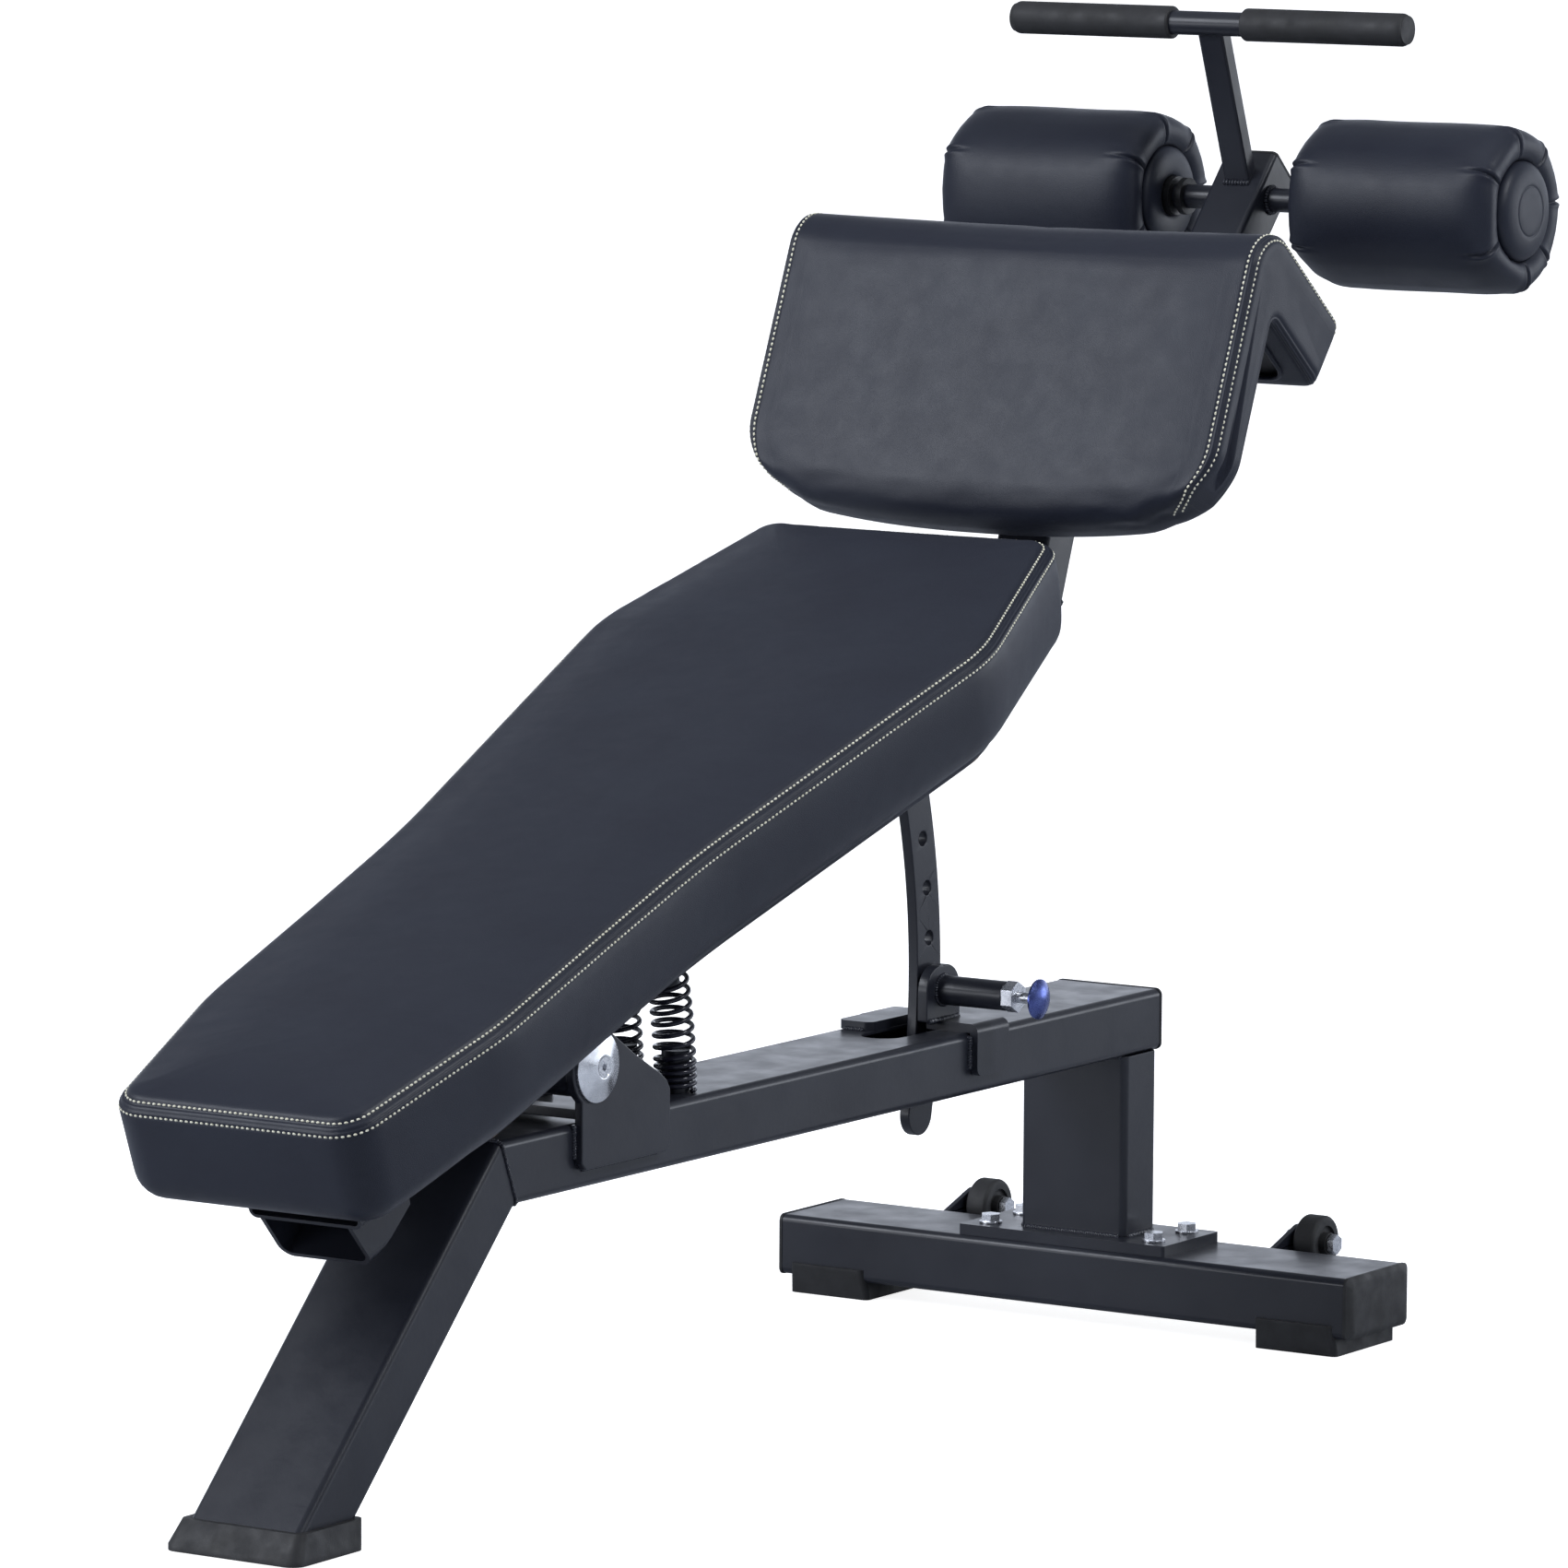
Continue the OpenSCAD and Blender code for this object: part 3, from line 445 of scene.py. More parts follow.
class Swell:
    """How far cloth under pressure moves from a smooth closed shape, sampled anywhere.
    voxel and cap, the furthest that a point may move, are in millimetres."""

    def __init__(self, name, verts, faces, voxel, pinned, cap):
        self.tree = None
        ob = mesh_object(name, verts, faces)
        remesh = ob.modifiers.new("remesh", "REMESH")
        remesh.mode = "VOXEL"
        remesh.voxel_size = voxel * MM
        graph = bpy.context.evaluated_depsgraph_get()
        closed = bpy.data.meshes.new_from_object(ob.evaluated_get(graph))
        ob.modifiers.clear()
        ob.data = closed
        group = ob.vertex_groups.new(name="held")
        start = np.array([v.co for v in closed.vertices])
        for v in closed.vertices:
            group.add([v.index], pinned(v.co), "REPLACE")
        cloth = ob.modifiers.new("cloth", "CLOTH")
        s = cloth.settings
        s.quality = 6
        s.mass = 0.4
        s.tension_stiffness = s.compression_stiffness = 25
        s.shear_stiffness = 12
        s.bending_stiffness = 2
        s.air_damping = 2
        s.use_pressure = True
        s.uniform_pressure_force = 4
        s.effector_weights.gravity = 0
        s.vertex_group_mass = "held"
        cloth.collision_settings.use_collision = False
        for f in range(1, CLOTH_FRAMES + 1):
            SCENE.frame_set(f)
        done = ob.evaluated_get(bpy.context.evaluated_depsgraph_get())
        moved = np.array([v.co for v in done.data.vertices]) - start
        length = np.linalg.norm(moved, axis=1)
        limit = cap * MM
        tiny = 1e-9
        scale = np.where(length > tiny, limit * np.tanh(length / limit) / np.maximum(length, tiny), 0)
        self.moved = moved * scale[:, None]
        self.tree = KDTree(len(start))
        for i, p in enumerate(start):
            self.tree.insert(p, i)
        self.tree.balance()
        bpy.data.objects.remove(ob)
        SCENE.frame_set(1)

    def at(self, point):
        """The movement at a point: its six nearest cloth points, the nearest counting most."""
        if self.tree is None:
            return Vector((0, 0, 0))
        total, weight = Vector((0, 0, 0)), 0.0
        for _, i, d in self.tree.find_n(point, 6):
            w = 1 / (d + 0.002)
            total += Vector(self.moved[i]) * w
            weight += w
        return total / weight


def surface_of(ob):
    graph = bpy.context.evaluated_depsgraph_get()
    return BVHTree.FromObject(ob, graph)


STITCH_PITCH, STITCH_LENGTH, STITCH_RADIUS = 5.0 * MM, 3.1 * MM, 1.0 * MM
# Along the stitch from -1 to 1, and its radius and lift as shares of the thread's radius
STITCH_BOW = ((-1, 0.35, -0.35), (-0.72, 0.8, 0.10), (0, 1.0, 0.42), (0.72, 0.8, 0.10), (1, 0.35, -0.35))
STITCH_SIDES = 6


def stitches(name, rows, tree):
    """One short bowed thread for each stitch of each row; a row is (points, closed)."""
    faces = grid_faces(len(STITCH_BOW), STITCH_SIDES)
    end = (len(STITCH_BOW) - 1) * STITCH_SIDES
    faces += [tuple(range(STITCH_SIDES - 1, -1, -1)), tuple(range(end, end + STITCH_SIDES))]
    pile = Pile()
    for points, closed in rows:
        for p, direction in polyline(points, STITCH_PITCH, closed):
            spot, normal, _, _ = tree.find_nearest(p)
            along = (direction - normal * direction.dot(normal)).normalized()
            across = normal.cross(along)
            rings = []
            for t, width, lift in STITCH_BOW:
                centre = spot + along * (t * STITCH_LENGTH / 2) + normal * (lift * STITCH_RADIUS)
                rings += round_ring(centre, across, normal, width * STITCH_RADIUS, STITCH_SIDES)
            pile.add(rings, faces)
    give(pile.object(name), THREAD, "bench")


# ---------------------------------------------------------------- back pad

# Half of the outline seen from above, front to rear: x, u and corner radius
PAD_FRONT, PAD_REAR = -393, 681
PAD_HALF = [
    (121, PAD_FRONT, 34), (150, -215, 260), (151, -60, 800),
    (154, 80, 1000), (203, 471, 150), (149, PAD_REAR, 30),
]
PAD_CORNERS = PAD_HALF + [(-x, u, r) for x, u, r in reversed(PAD_HALF)]
PAD_UNDER = 57
PAD_WALL_HEIGHT = 101
# The crown's height at the front and its rise over its run to the rear
PAD_CREST, PAD_RISE, PAD_RUN = 164, 5, 1075
# From the crown over the seam, down the wall and round the board: inset and drop
PAD_WALL = [
    (72, 0.6), (50, 0.4), (32, -0.2), (22, -1.0), (16, -1.9), (13, -2.7), (11.4, -3.5), (10.2, -4.4),
    (9.2, -5.6), (8.6, -6.9), (8.0, -7.4), (7.3, -7.6), (6.6, -7.9), (6.0, -9.1), (5.3, -8.7), (4.4, -9.0),
    (3.5, -9.8), (2.7, -10.8), (2.5, -12.2), (1.6, -12.1), (1.1, -13.0), (0.8, -14.2), (1.1, -15.2),
    (0.4, -16.1), (0, -18), (0, -26), (0, -36), (0, -46), (0, -56), (0, -66), (0.1, -73), (0.7, -79.5),
    (2.2, -85), (4.8, -90), (8.4, -94.4), (12.6, -97.6), (17.2, -99.8), (22, -101.6), (28, -104.5),
    (33, -107.6), (38, -108.8), (44, -108.8), (45, -108.1),
]
# The same wall without its seam, for the cloth to start from
PAD_PLAIN_WALL = [
    (72, 0.5), (40, 0), (24, -1), (13.5, -3), (7, -8.5), (3, -11.5), (1.2, -16), (1, -30), (1, -52),
    (1.5, -74), (5, -89), (14, -98), (26, -101), (40, -101.5),
]
PAD_STITCH_ROWS = [(8.4, -7.2), (0.9, -15.2)]
PAD_STEP = 6.5


def pad_point(x, u, drop):
    """Near the crown, drop is measured from the sloping top; near the board, from its underside."""
    crown = PAD_CREST + PAD_RISE * (u - PAD_FRONT) / PAD_RUN + drop
    lean = 0.055 * smoothstep(-26, -95, drop) * smoothstep(-106, -99, drop) * smoothstep(-360, -200, u)
    base = PAD_UNDER + PAD_WALL_HEIGHT + drop + 7 * smoothstep(-40, -92, drop)
    return bench(x * (1 - lean), u, crown + (base - crown) * smoothstep(-20, -75, drop))


def build_main_pad():
    counts = loop_counts(PAD_CORNERS, PAD_STEP)
    axis_front, axis_rear = PAD_FRONT + 118, PAD_REAR - 150

    def row(inset, drop):
        return [pad_point(x, u, drop) for x, u in inset_loop(PAD_CORNERS, inset, counts)]

    def assemble(wall, swell=None):
        """The crown from the pad's middle line outwards, then each row of the wall."""
        inset, drop = wall[0]
        inner = inset_loop(PAD_CORNERS, inset, counts)
        count = len(inner)
        crown = []
        for t in (1.0, 0.85, 0.7, 0.55, 0.4, 0.25, 0.12):
            for x, u in inner:
                axis_u = min(max(u, axis_front), axis_rear)
                crown.append(pad_point(x * (1 - t), u + (axis_u - u) * t, drop + 1.2 * t))
        verts = list(crown)
        for level in wall:
            verts += row(*level)
        faces = [f[::-1] for f in grid_faces(len(verts) // count, count)]
        faces.append(tuple(range(len(verts) - count, len(verts))))
        if swell:
            share = [1.0] * len(crown)
            for inset, _ in wall:
                share += [1.0 if inset > 8 else 0.35] * count
            verts = [v + swell.at(v) * k for v, k in zip(verts, share)]
        return verts, faces

    to_bench = BENCH.inverted()
    seam_line = inset_loop(PAD_CORNERS, 4, counts)
    seam = KDTree(len(seam_line))
    for i, (x, u) in enumerate(seam_line):
        seam.insert(Vector((x, u, 0)), i)
    seam.balance()

    def held(point):
        """Fixed at the board, nearly fixed along the seam, free on the crown and the wall."""
        x, u, w = to_bench @ point / MM
        if w < 66:
            return 1.0
        seam_w = PAD_CREST - 11 + PAD_RISE * (u - PAD_FRONT) / PAD_RUN
        if abs(w - seam_w) < 9 and seam.find(Vector((x, u, 0)))[2] < 9:
            return 0.9
        return 0.0

    swell = Swell("pad_cloth", *assemble(PAD_PLAIN_WALL), 6, held, 5.0)
    ob = mesh_object("back_pad_cover", *assemble(PAD_WALL, swell))
    join_close(ob, 0.0002)
    give(ob, HIDE, "bench")
    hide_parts("main_pad")
    stitches("back_pad_stitches", [(row(*level), True) for level in PAD_STITCH_ROWS], surface_of(ob))


build_main_pad()


# ---------------------------------------------------------------- thigh pad

# The fold's place, the slopes of both flanks, and their sizes; the board lies on the inner faces
KNEE_U, KNEE_W = 936.0, 260.0
KNEE_FRONT, KNEE_BACK = math.radians(47), math.radians(60)
KNEE_HALF, KNEE_LONG, KNEE_SHORT = 243.0, 214.0, 110.0
KNEE_FRONT_THICK, KNEE_THICK = 50.0, 66.0
KNEE_STEP, KNEE_TIGHTEST = 6.0, 3.0


def knee_point(s, t):
    """(u, w) on the folded pad: s is the distance from the fold, negative on the front flank, and t is
    square to the flank."""
    if s < 0:
        return (KNEE_U + s * math.cos(KNEE_FRONT) - t * math.sin(KNEE_FRONT),
                KNEE_W + s * math.sin(KNEE_FRONT) + t * math.cos(KNEE_FRONT))
    return (KNEE_U + s * math.cos(KNEE_BACK) + t * math.sin(KNEE_BACK),
            KNEE_W - s * math.sin(KNEE_BACK) + t * math.cos(KNEE_BACK))


def knee_apex(front_t, rear_t):
    """Where the planes front_t and rear_t above the two flanks meet."""
    turn = math.sin(KNEE_FRONT + KNEE_BACK)
    return (KNEE_U + (rear_t * math.cos(KNEE_FRONT) - front_t * math.cos(KNEE_BACK)) / turn,
            KNEE_W + (rear_t * math.sin(KNEE_FRONT) + front_t * math.sin(KNEE_BACK)) / turn)


def knee_heights(u, w):
    """Heights of a point above the inner face of the front and of the rear flank."""
    du, dw = u - KNEE_U, w - KNEE_W
    return (-du * math.sin(KNEE_FRONT) + dw * math.cos(KNEE_FRONT),
            du * math.sin(KNEE_BACK) + dw * math.cos(KNEE_BACK))


# Side view, anticlockwise in (u, w): front end, inner fold, rear end, crest
KNEE_CORNERS = [
    (*knee_point(-KNEE_LONG, KNEE_FRONT_THICK), 16), (*knee_point(-KNEE_LONG, 0), 9), (KNEE_U, KNEE_W, 6),
    (*knee_point(KNEE_SHORT, 0), 10), (*knee_point(KNEE_SHORT, KNEE_THICK), 20),
    (*knee_apex(KNEE_FRONT_THICK, KNEE_THICK), 38),
]
# From the end face over the welt to the middle: inset and x
KNEE_WALL = [
    (17, 243.0), (12, 243.2), (9, 243.0), (7.5, 242.6), (6.6, 242.1), (5.8, 241.5), (5.0, 241.2),
    (4.2, 241.6), (3.4, 241.2), (2.7, 240.4), (2.3, 239.2), (1.7, 239.4), (1.0, 238.9), (0.5, 238.0),
    (0.6, 237.0), (0.9, 236.3), (0.3, 235.6), (0.3, 234.8), (0.9, 234.0), (0.2, 233.0), (0, 231.0),
    (0, 226.0), (0, 219.0), (0, 216.5), (0, 214.0), (0, 212.5), (0, 210.0),
]
KNEE_PLAIN_WALL = [(10, 241), (5, 240), (2, 237), (1.5, 228)]
# x and inset of the two rows of stitches
KNEE_STITCH_ROWS = [(234.3, 0.5), (241.3, 5.2)]

# The board's pocket: its half width, its depth into the pad, how far the cutter reaches out below the
# flanks and below the fold, and for each flank the sign of s, the far edge and the corner radius
POCKET_HALF, POCKET_DEPTH, POCKET_BELOW, POCKET_FOLD_BELOW = 213, 10.5, 30, 37.2
POCKET_FLANKS = ((-1, KNEE_LONG - 24, 60), (1, KNEE_SHORT - 17, 16))


def knee_shape(x, u, w):
    """Rounds the flanks' lower corners and bows the front one's lower edge."""
    du, dw = u - KNEE_U, w - KNEE_W
    front = -(du * math.cos(KNEE_FRONT) + dw * math.sin(KNEE_FRONT))
    rear = du * math.cos(KNEE_BACK) - dw * math.sin(KNEE_BACK)
    if front > 60 and du < 40:
        s, far, r, slope, way = front, KNEE_LONG, 76.0, KNEE_FRONT, 1
    elif rear > 60 and du > 40:
        s, far, r, slope, way = rear, KNEE_SHORT, 22.0, KNEE_BACK, -1
    else:
        return bench(x, u, w)
    a = max(0.0, (abs(x) - KNEE_HALF + r) / r)
    b = max(0.0, (s - far + r) / r)
    pull = b * r * (1 - math.sqrt(1 - min(a, 1.0) ** 2 / 2))
    if slope == KNEE_FRONT:
        pull += 15.5 * min(1.0, abs(x) / 200) ** 2.4 * smoothstep(80, far, s)
    x -= math.copysign(a * r * (1 - math.sqrt(1 - min(b, 1.0) ** 2 / 2)), x)
    return bench(x, u + way * pull * math.cos(slope), w + pull * math.sin(slope))


def pocket_corner(side, far, radius):
    """The rounded corner of the pocket at one side, in (x, s)."""
    turn = [TAU / 4 * k / 8 for k in range(9)]
    return [(side * (POCKET_HALF - radius + radius * math.cos(a)), far - radius + radius * math.sin(a))
            for a in turn]


def knee_cutter():
    """The pocket for the board: a V prism with round corners, reaching out below the pad."""
    verts, faces = [], []
    for sign, far, radius in POCKET_FLANKS:
        outline = [(-POCKET_HALF, 0), (POCKET_HALF, 0)]
        outline += pocket_corner(1, far, radius) + pocket_corner(-1, far, radius)[::-1]
        for t in (-POCKET_BELOW, POCKET_DEPTH):
            fold = (KNEE_U, KNEE_W - POCKET_FOLD_BELOW) if t < 0 else knee_apex(POCKET_DEPTH, POCKET_DEPTH)
            for x, s in outline:
                verts.append(bench(x, *(fold if s == 0 else knee_point(sign * s, t))))
        m = len(outline)
        n = len(verts) - 2 * m
        ring = [(n + i, n + (i + 1) % m, n + m + (i + 1) % m, n + m + i) for i in range(m)]
        quads = ring[1:] + [tuple(range(n + m - 1, n - 1, -1)), tuple(range(n + m, n + 2 * m))]
        faces += quads if sign < 0 else [q[::-1] for q in quads]
    ob = mesh_object("pocket cutter", verts, faces, smooth=False)
    bm = bmesh.new()
    bm.from_mesh(ob.data)
    bmesh.ops.remove_doubles(bm, verts=bm.verts, dist=1e-5)
    bmesh.ops.recalc_face_normals(bm, faces=bm.faces)
    bm.to_mesh(ob.data)
    bm.free()
    return ob


def cut_pocket(ob):
    cutter = knee_cutter()
    cut = ob.modifiers.new("pocket", "BOOLEAN")
    cut.operation = "DIFFERENCE"
    cut.solver = "EXACT"
    cut.object = cutter
    graph = bpy.context.evaluated_depsgraph_get()
    done = bpy.data.meshes.new_from_object(ob.evaluated_get(graph))
    ob.modifiers.clear()
    ob.data = done
    bpy.data.objects.remove(cutter)


def pocket_piping():
    """The welt round the pocket's edge, once round over both flanks."""
    line = []
    for sign, far, radius in POCKET_FLANKS:
        half = [(POCKET_HALF, 6)] + pocket_corner(1, far, radius)
        line += [(-sign * x, sign * s) for x, s in half + [(-x, s) for x, s in reversed(half)]]
    points = [bench(x, *knee_point(s, -0.3)) for x, s in line]
    spots = [p for p, _ in polyline(points, 5 * MM, closed=True)]
    piping = mesh_object("thigh_pad_piping", *tube(spots, 2.4 * MM, 10, closed=True))
    give(piping, HIDE, "bench")


def knee_stitch_line(counts, x, inset):
    """A row along both flanks' outer faces and a little way round their lower ends, in (x, u, w)."""
    line = []
    for u, w in inset_loop(KNEE_CORNERS, inset, counts, KNEE_TIGHTEST):
        front_t, rear_t = knee_heights(u, w)
        if front_t > 22.4 or rear_t > 0.8 * KNEE_THICK:
            turn_in = 0.1 * smoothstep(46, 20, front_t) * (u < KNEE_U)
            line.append((x * (1 - turn_in), u, w))
    start = max(range(len(line)), key=lambda i: math.dist(line[i - 1], line[i]))
    return line[start:] + line[:start]


def build_knee_pad():
    counts = loop_counts(KNEE_CORNERS, KNEE_STEP)

    def assemble(levels, swell=None):
        """Side-view outlines from one end face to the other, each at its inset and x."""
        verts = []
        for inset, x in levels:
            outline = inset_loop(KNEE_CORNERS, inset, counts, KNEE_TIGHTEST)
            verts += [knee_shape(x, u, w) for u, w in outline]
        count = len(verts) // len(levels)
        faces = grid_faces(len(levels), count)
        faces.append(tuple(range(count - 1, -1, -1)))
        faces.append(tuple(range(len(verts) - count, len(verts))))
        if swell:
            verts = [v + swell.at(v) for v in verts]
        return verts, faces

    def both_ends(wall, between):
        return wall + between + [(inset, -x) for inset, x in reversed(wall)]

    to_bench = BENCH.inverted()

    def held(point):
        """Fixed at the board's faces, nearly fixed at the ends, free elsewhere."""
        x, u, w = to_bench @ point / MM
        front_t, rear_t = knee_heights(u, w)
        inside = (front_t < 6 and u < KNEE_U) or (rear_t < 6 and u > KNEE_U)
        if inside or max(front_t, rear_t) < 16:
            return 1.0
        return 0.85 if abs(x) > 230 else 0.0

    plain = both_ends(KNEE_PLAIN_WALL, [(1.5, 200 - 25 * i) for i in range(17)])
    swell = Swell("knee_cloth", *assemble(plain), 5, held, 5.0)
    fine = both_ends(KNEE_WALL, [(0, 200 - 12.5 * i) for i in range(33)])
    ob = mesh_object("thigh_pad_cover", *assemble(fine, swell))
    cut_pocket(ob)
    give(ob, HIDE, "bench")
    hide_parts("knee_pad")
    rows = []
    for sign in (-1, 1):
        for x, inset in KNEE_STITCH_ROWS:
            line = knee_stitch_line(counts, sign * x, inset)
            rows.append(([knee_shape(*point) for point in line], False))
    stitches("thigh_pad_stitches", rows, surface_of(ob))
    pocket_piping()


build_knee_pad()


# ---------------------------------------------------------------- ankle rollers

ROLL_RADIUS, SHOULDER_REACH, ROLL_BANDS = 76.6, 46, 7
# Degrees round the roller at which the cover is gathered
CREASES = (5, 52, 97, 149, 210, 280, 316)
# One end: distance in from the end, radius, and how far the outline is an octagon between the gathers
SHOULDER = [
    (46, 76.6, 0.0), (34, 76.6, 0.05), (26, 76.6, 0.16), (20, 76.5, 0.32), (15, 76.2, 0.52),
    (11, 75.6, 0.70),
    (8, 74.6, 0.84), (5.5, 73.2, 0.94), (3.4, 71.2, 1.0), (1.7, 68.6, 1.0), (0.7, 65, 1.0), (0.2, 61, 0.92),
    (0.2, 56.5, 0.72), (1.0, 51.5, 0.42), (2.6, 48, 0.18), (5, 45.8, 0.0), (8, 44.6, 0.0),
]
# End discs: radius and height
BUTTON_OUTER = [
    (43.8, -7), (44.9, -3.5), (45.2, -1.0), (44.8, 1.6), (43.2, 4.2), (40.4, 6.4), (36.5, 8.1), (32, 9.2),
    (27.5, 9.9), (24.6, 10.1), (23.5, 9.9), (22.8, 9.4), (22.1, 9.9), (20.8, 10.2), (14, 10.4), (7, 10.5),
    (0.01, 10.5),
]
BUTTON_INNER = [
    (43.8, -7), (44.9, -3.5), (45.2, -1.0), (44.6, 1.4), (42.6, 3.6), (39, 5.2), (34, 6.2), (28, 6.6),
    (23, 6.4), (20, 5.6), (18.4, 4.2), (17.6, 1.0),
]
BUTTON_SINK = 3.5
BUTTON_SIDES = 96


def crease_spans():
    """Angles round a roller, close together at the gathers, each with the gathers on both its sides."""
    near = (0, 0.6, 1.2, 1.9, 2.8, 4.2, 6.4, 9.6, 14)
    out = []
    for i, a in enumerate(CREASES):
        b = CREASES[(i + 1) % len(CREASES)] + (360 if i == len(CREASES) - 1 else 0)
        spots = [a + n for n in near] + [(a + b) / 2] + [b - n for n in reversed(near[1:])]
        out += [(math.radians(p), math.radians(a), math.radians(b)) for p in spots]
    return out


def gathered(angle, a, b, back, radius, octagon):
    """Radius and distance from the end of a cover point between the gathers a and b, in millimetres."""
    half = (b - a) / 2
    away = abs(angle - (a + b) / 2)
    chord = math.cos(half) / math.cos(away)
    from_crease = math.degrees(half - away)
    # a sharp groove at each gather, a lip beside it and a puff between two
    pinch = smoothstep(0.05, 0.6, octagon)
    groove = math.exp(-(from_crease / 1.3) ** 2) * pinch * 2.6
    lip = math.exp(-((from_crease - 3.0) / 1.6) ** 2) * pinch * 0.9
    puff = math.cos(math.pi / 2 * away / half) ** 0.8 * octagon * 1.8 if away < half else 0
    r = radius * (1 - octagon * 0.72 * (1 - chord)) - groove * 0.75 + lip + 0.35 * puff
    r += 0.25 * math.sin(3 * angle + back * 0.05) * (1 - octagon)
    return r, back + 1.0 + groove * 0.9 - lip - puff


def build_roller(side):
    name = "right" if side > 0 else "left"
    axis = Vector(JOINTS[f"roller_{name}_spin"]["pos_m"])
    lo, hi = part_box(f"roller_pad_{name}")
    inner, outer = (lo.x, hi.x) if side > 0 else (hi.x, lo.x)
    middle = abs(outer - inner) / MM - 2 * SHOULDER_REACH
    spans = crease_spans()
    rings = [(outer, side, *row) for row in reversed(SHOULDER)]
    rings += [(outer, side, SHOULDER_REACH + middle * i / (ROLL_BANDS + 1), ROLL_RADIUS, 0.0)
              for i in range(1, ROLL_BANDS + 1)]
    rings += [(inner, -side, *row) for row in SHOULDER]
    verts = []
    for end_x, out, back, radius, octagon in rings:
        for angle, a, b in spans:
            r, depth = gathered(angle, a, b, back, radius, octagon)
            verts.append(Vector((end_x - out * depth * MM, axis.y + r * MM * math.cos(angle),
                                 axis.z + r * MM * math.sin(angle))))
    count = len(spans)
    faces = grid_faces(len(rings), count)
    faces += [tuple(range(count))[::-1], tuple(range(len(verts) - count, len(verts)))]
    if side > 0:
        faces = [f[::-1] for f in faces]
    ob = mesh_object(f"roller_cover_{name}", verts, faces)
    give(ob, HIDE, f"roller_{name}")
    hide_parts(f"roller_pad_{name}")

    pile = Pile()
    for end_x, out, profile in ((outer, side, BUTTON_OUTER), (inner, -side, BUTTON_INNER)):
        verts = []
        for r, h in profile:
            centre = Vector((end_x + out * (h - BUTTON_SINK) * MM, axis.y, axis.z))
            verts += round_ring(centre, Y_AXIS, Z_AXIS, r * MM, BUTTON_SIDES)
        faces = grid_faces(len(profile), BUTTON_SIDES)
        pile.add(verts, faces if out > 0 else [f[::-1] for f in faces])
    ob = pile.object(f"roller_buttons_{name}")
    join_close(ob, 0.00002)
    give(ob, HIDE, f"roller_{name}")
    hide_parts(f"roller_discs_{name}")


build_roller(-1)
build_roller(1)


# ---------------------------------------------------------------- springs

def coil(name, centre_at, turns, coil_radius, wire, steps=28, sides=10):
    """A round wire coil; centre_at(t) gives the centre and two directions square to the axis."""
    pts = []
    total = int(turns * steps)
    for i in range(total + 1):
        f = i / total
        c, a, b = centre_at(f)
        ang = TAU * turns * f
        pts.append(c + (a * math.cos(ang) + b * math.sin(ang)) * coil_radius)
    return mesh_object(name, *tube(pts, wire / 2, sides))


# The springs' seats on the beam (y, z) and on the bench (u, w), and the coils
SPRING_FOOT, SPRING_HEAD = (0.5456, 0.300), (167.8, 27)
SPRING_TURNS, SPRING_WIDTH, SPRING_WIRE = 14.5, 37 * MM, 4.2 * MM
# Close coils over the lower post: their share of the length and of the turns
CLOSE_LENGTH, CLOSE_TURNS = 0.20, 0.31


def build_assist_spring(name):
    """A coil along an arc that leaves the beam upright and meets the bench square."""
    lo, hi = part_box(f"assist_spring_{name}")
    x = (lo.x + hi.x) / 2
    start = Vector((x, *SPRING_FOOT))
    end = bench(x / MM, *SPRING_HEAD)
    bend = (start.y - end.y) / (1 - math.cos(SLOPE))
    hub = Vector((x, start.y - bend, start.z))

    def centre(t):
        if t < CLOSE_TURNS:
            t = t * CLOSE_LENGTH / CLOSE_TURNS
        else:
            t = CLOSE_LENGTH + (t - CLOSE_TURNS) * (1 - CLOSE_LENGTH) / (1 - CLOSE_TURNS)
        arc = (SPRING_WIRE / 2 + (bend * SLOPE - SPRING_WIRE) * t) / bend
        radial = Vector((0, math.cos(arc), math.sin(arc)))
        return hub + radial * bend, X_AXIS, radial

    ob = coil(f"assist_coil_{name}", centre, SPRING_TURNS, SPRING_WIDTH / 2 - SPRING_WIRE / 2, SPRING_WIRE)
    give(ob, ENAMEL)
    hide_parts(f"assist_spring_{name}")
    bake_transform(ob)


build_assist_spring("left")
build_assist_spring("right")


def build_pin_spring():
    lo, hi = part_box("pin_spring")
    wire, radius = 1.5 * MM, 7.4 * MM

    def centre(t):
        x = lo.x + wire + (hi.x - lo.x - 2 * wire) * t
        return Vector((x, (lo.y + hi.y) / 2, (lo.z + hi.z) / 2)), Y_AXIS, Z_AXIS

    ob = coil("pin_coil", centre, 9, radius, wire, steps=24, sides=8)
    give(ob, ZINC, "frame")
    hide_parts("pin_spring")


build_pin_spring()


# ---------------------------------------------------------------- welds

DROP_SIDES, DROP_RINGS = 8, 4


def bead(pile, points, radius, pitch=2.3, closed=False):
    """A row of overlapping flattened drops along a joint, as a weld is laid; sizes in millimetres."""
    faces = grid_faces(DROP_RINGS, DROP_SIDES)
    end = (DROP_RINGS - 1) * DROP_SIDES
    faces += [tuple(range(DROP_SIDES - 1, -1, -1)), tuple(range(end, end + DROP_SIDES))]
    faces = [f[::-1] for f in faces]
    for i, (p, direction) in enumerate(polyline(points, pitch * MM, closed)):
        side = direction.orthogonal().normalized()
        other = direction.cross(side)
        r = radius * (1 + 0.07 * math.sin(i * 2.3) + 0.05 * math.sin(i * 0.71)) * MM
        verts = []
        for ring in range(1, DROP_RINGS + 1):
            phi = math.pi * ring / (DROP_RINGS + 1)
            centre = p + direction * (math.cos(phi) * r * 0.62)
            verts += round_ring(centre, side, other, math.sin(phi) * r, DROP_SIDES)
        pile.add(verts, faces)


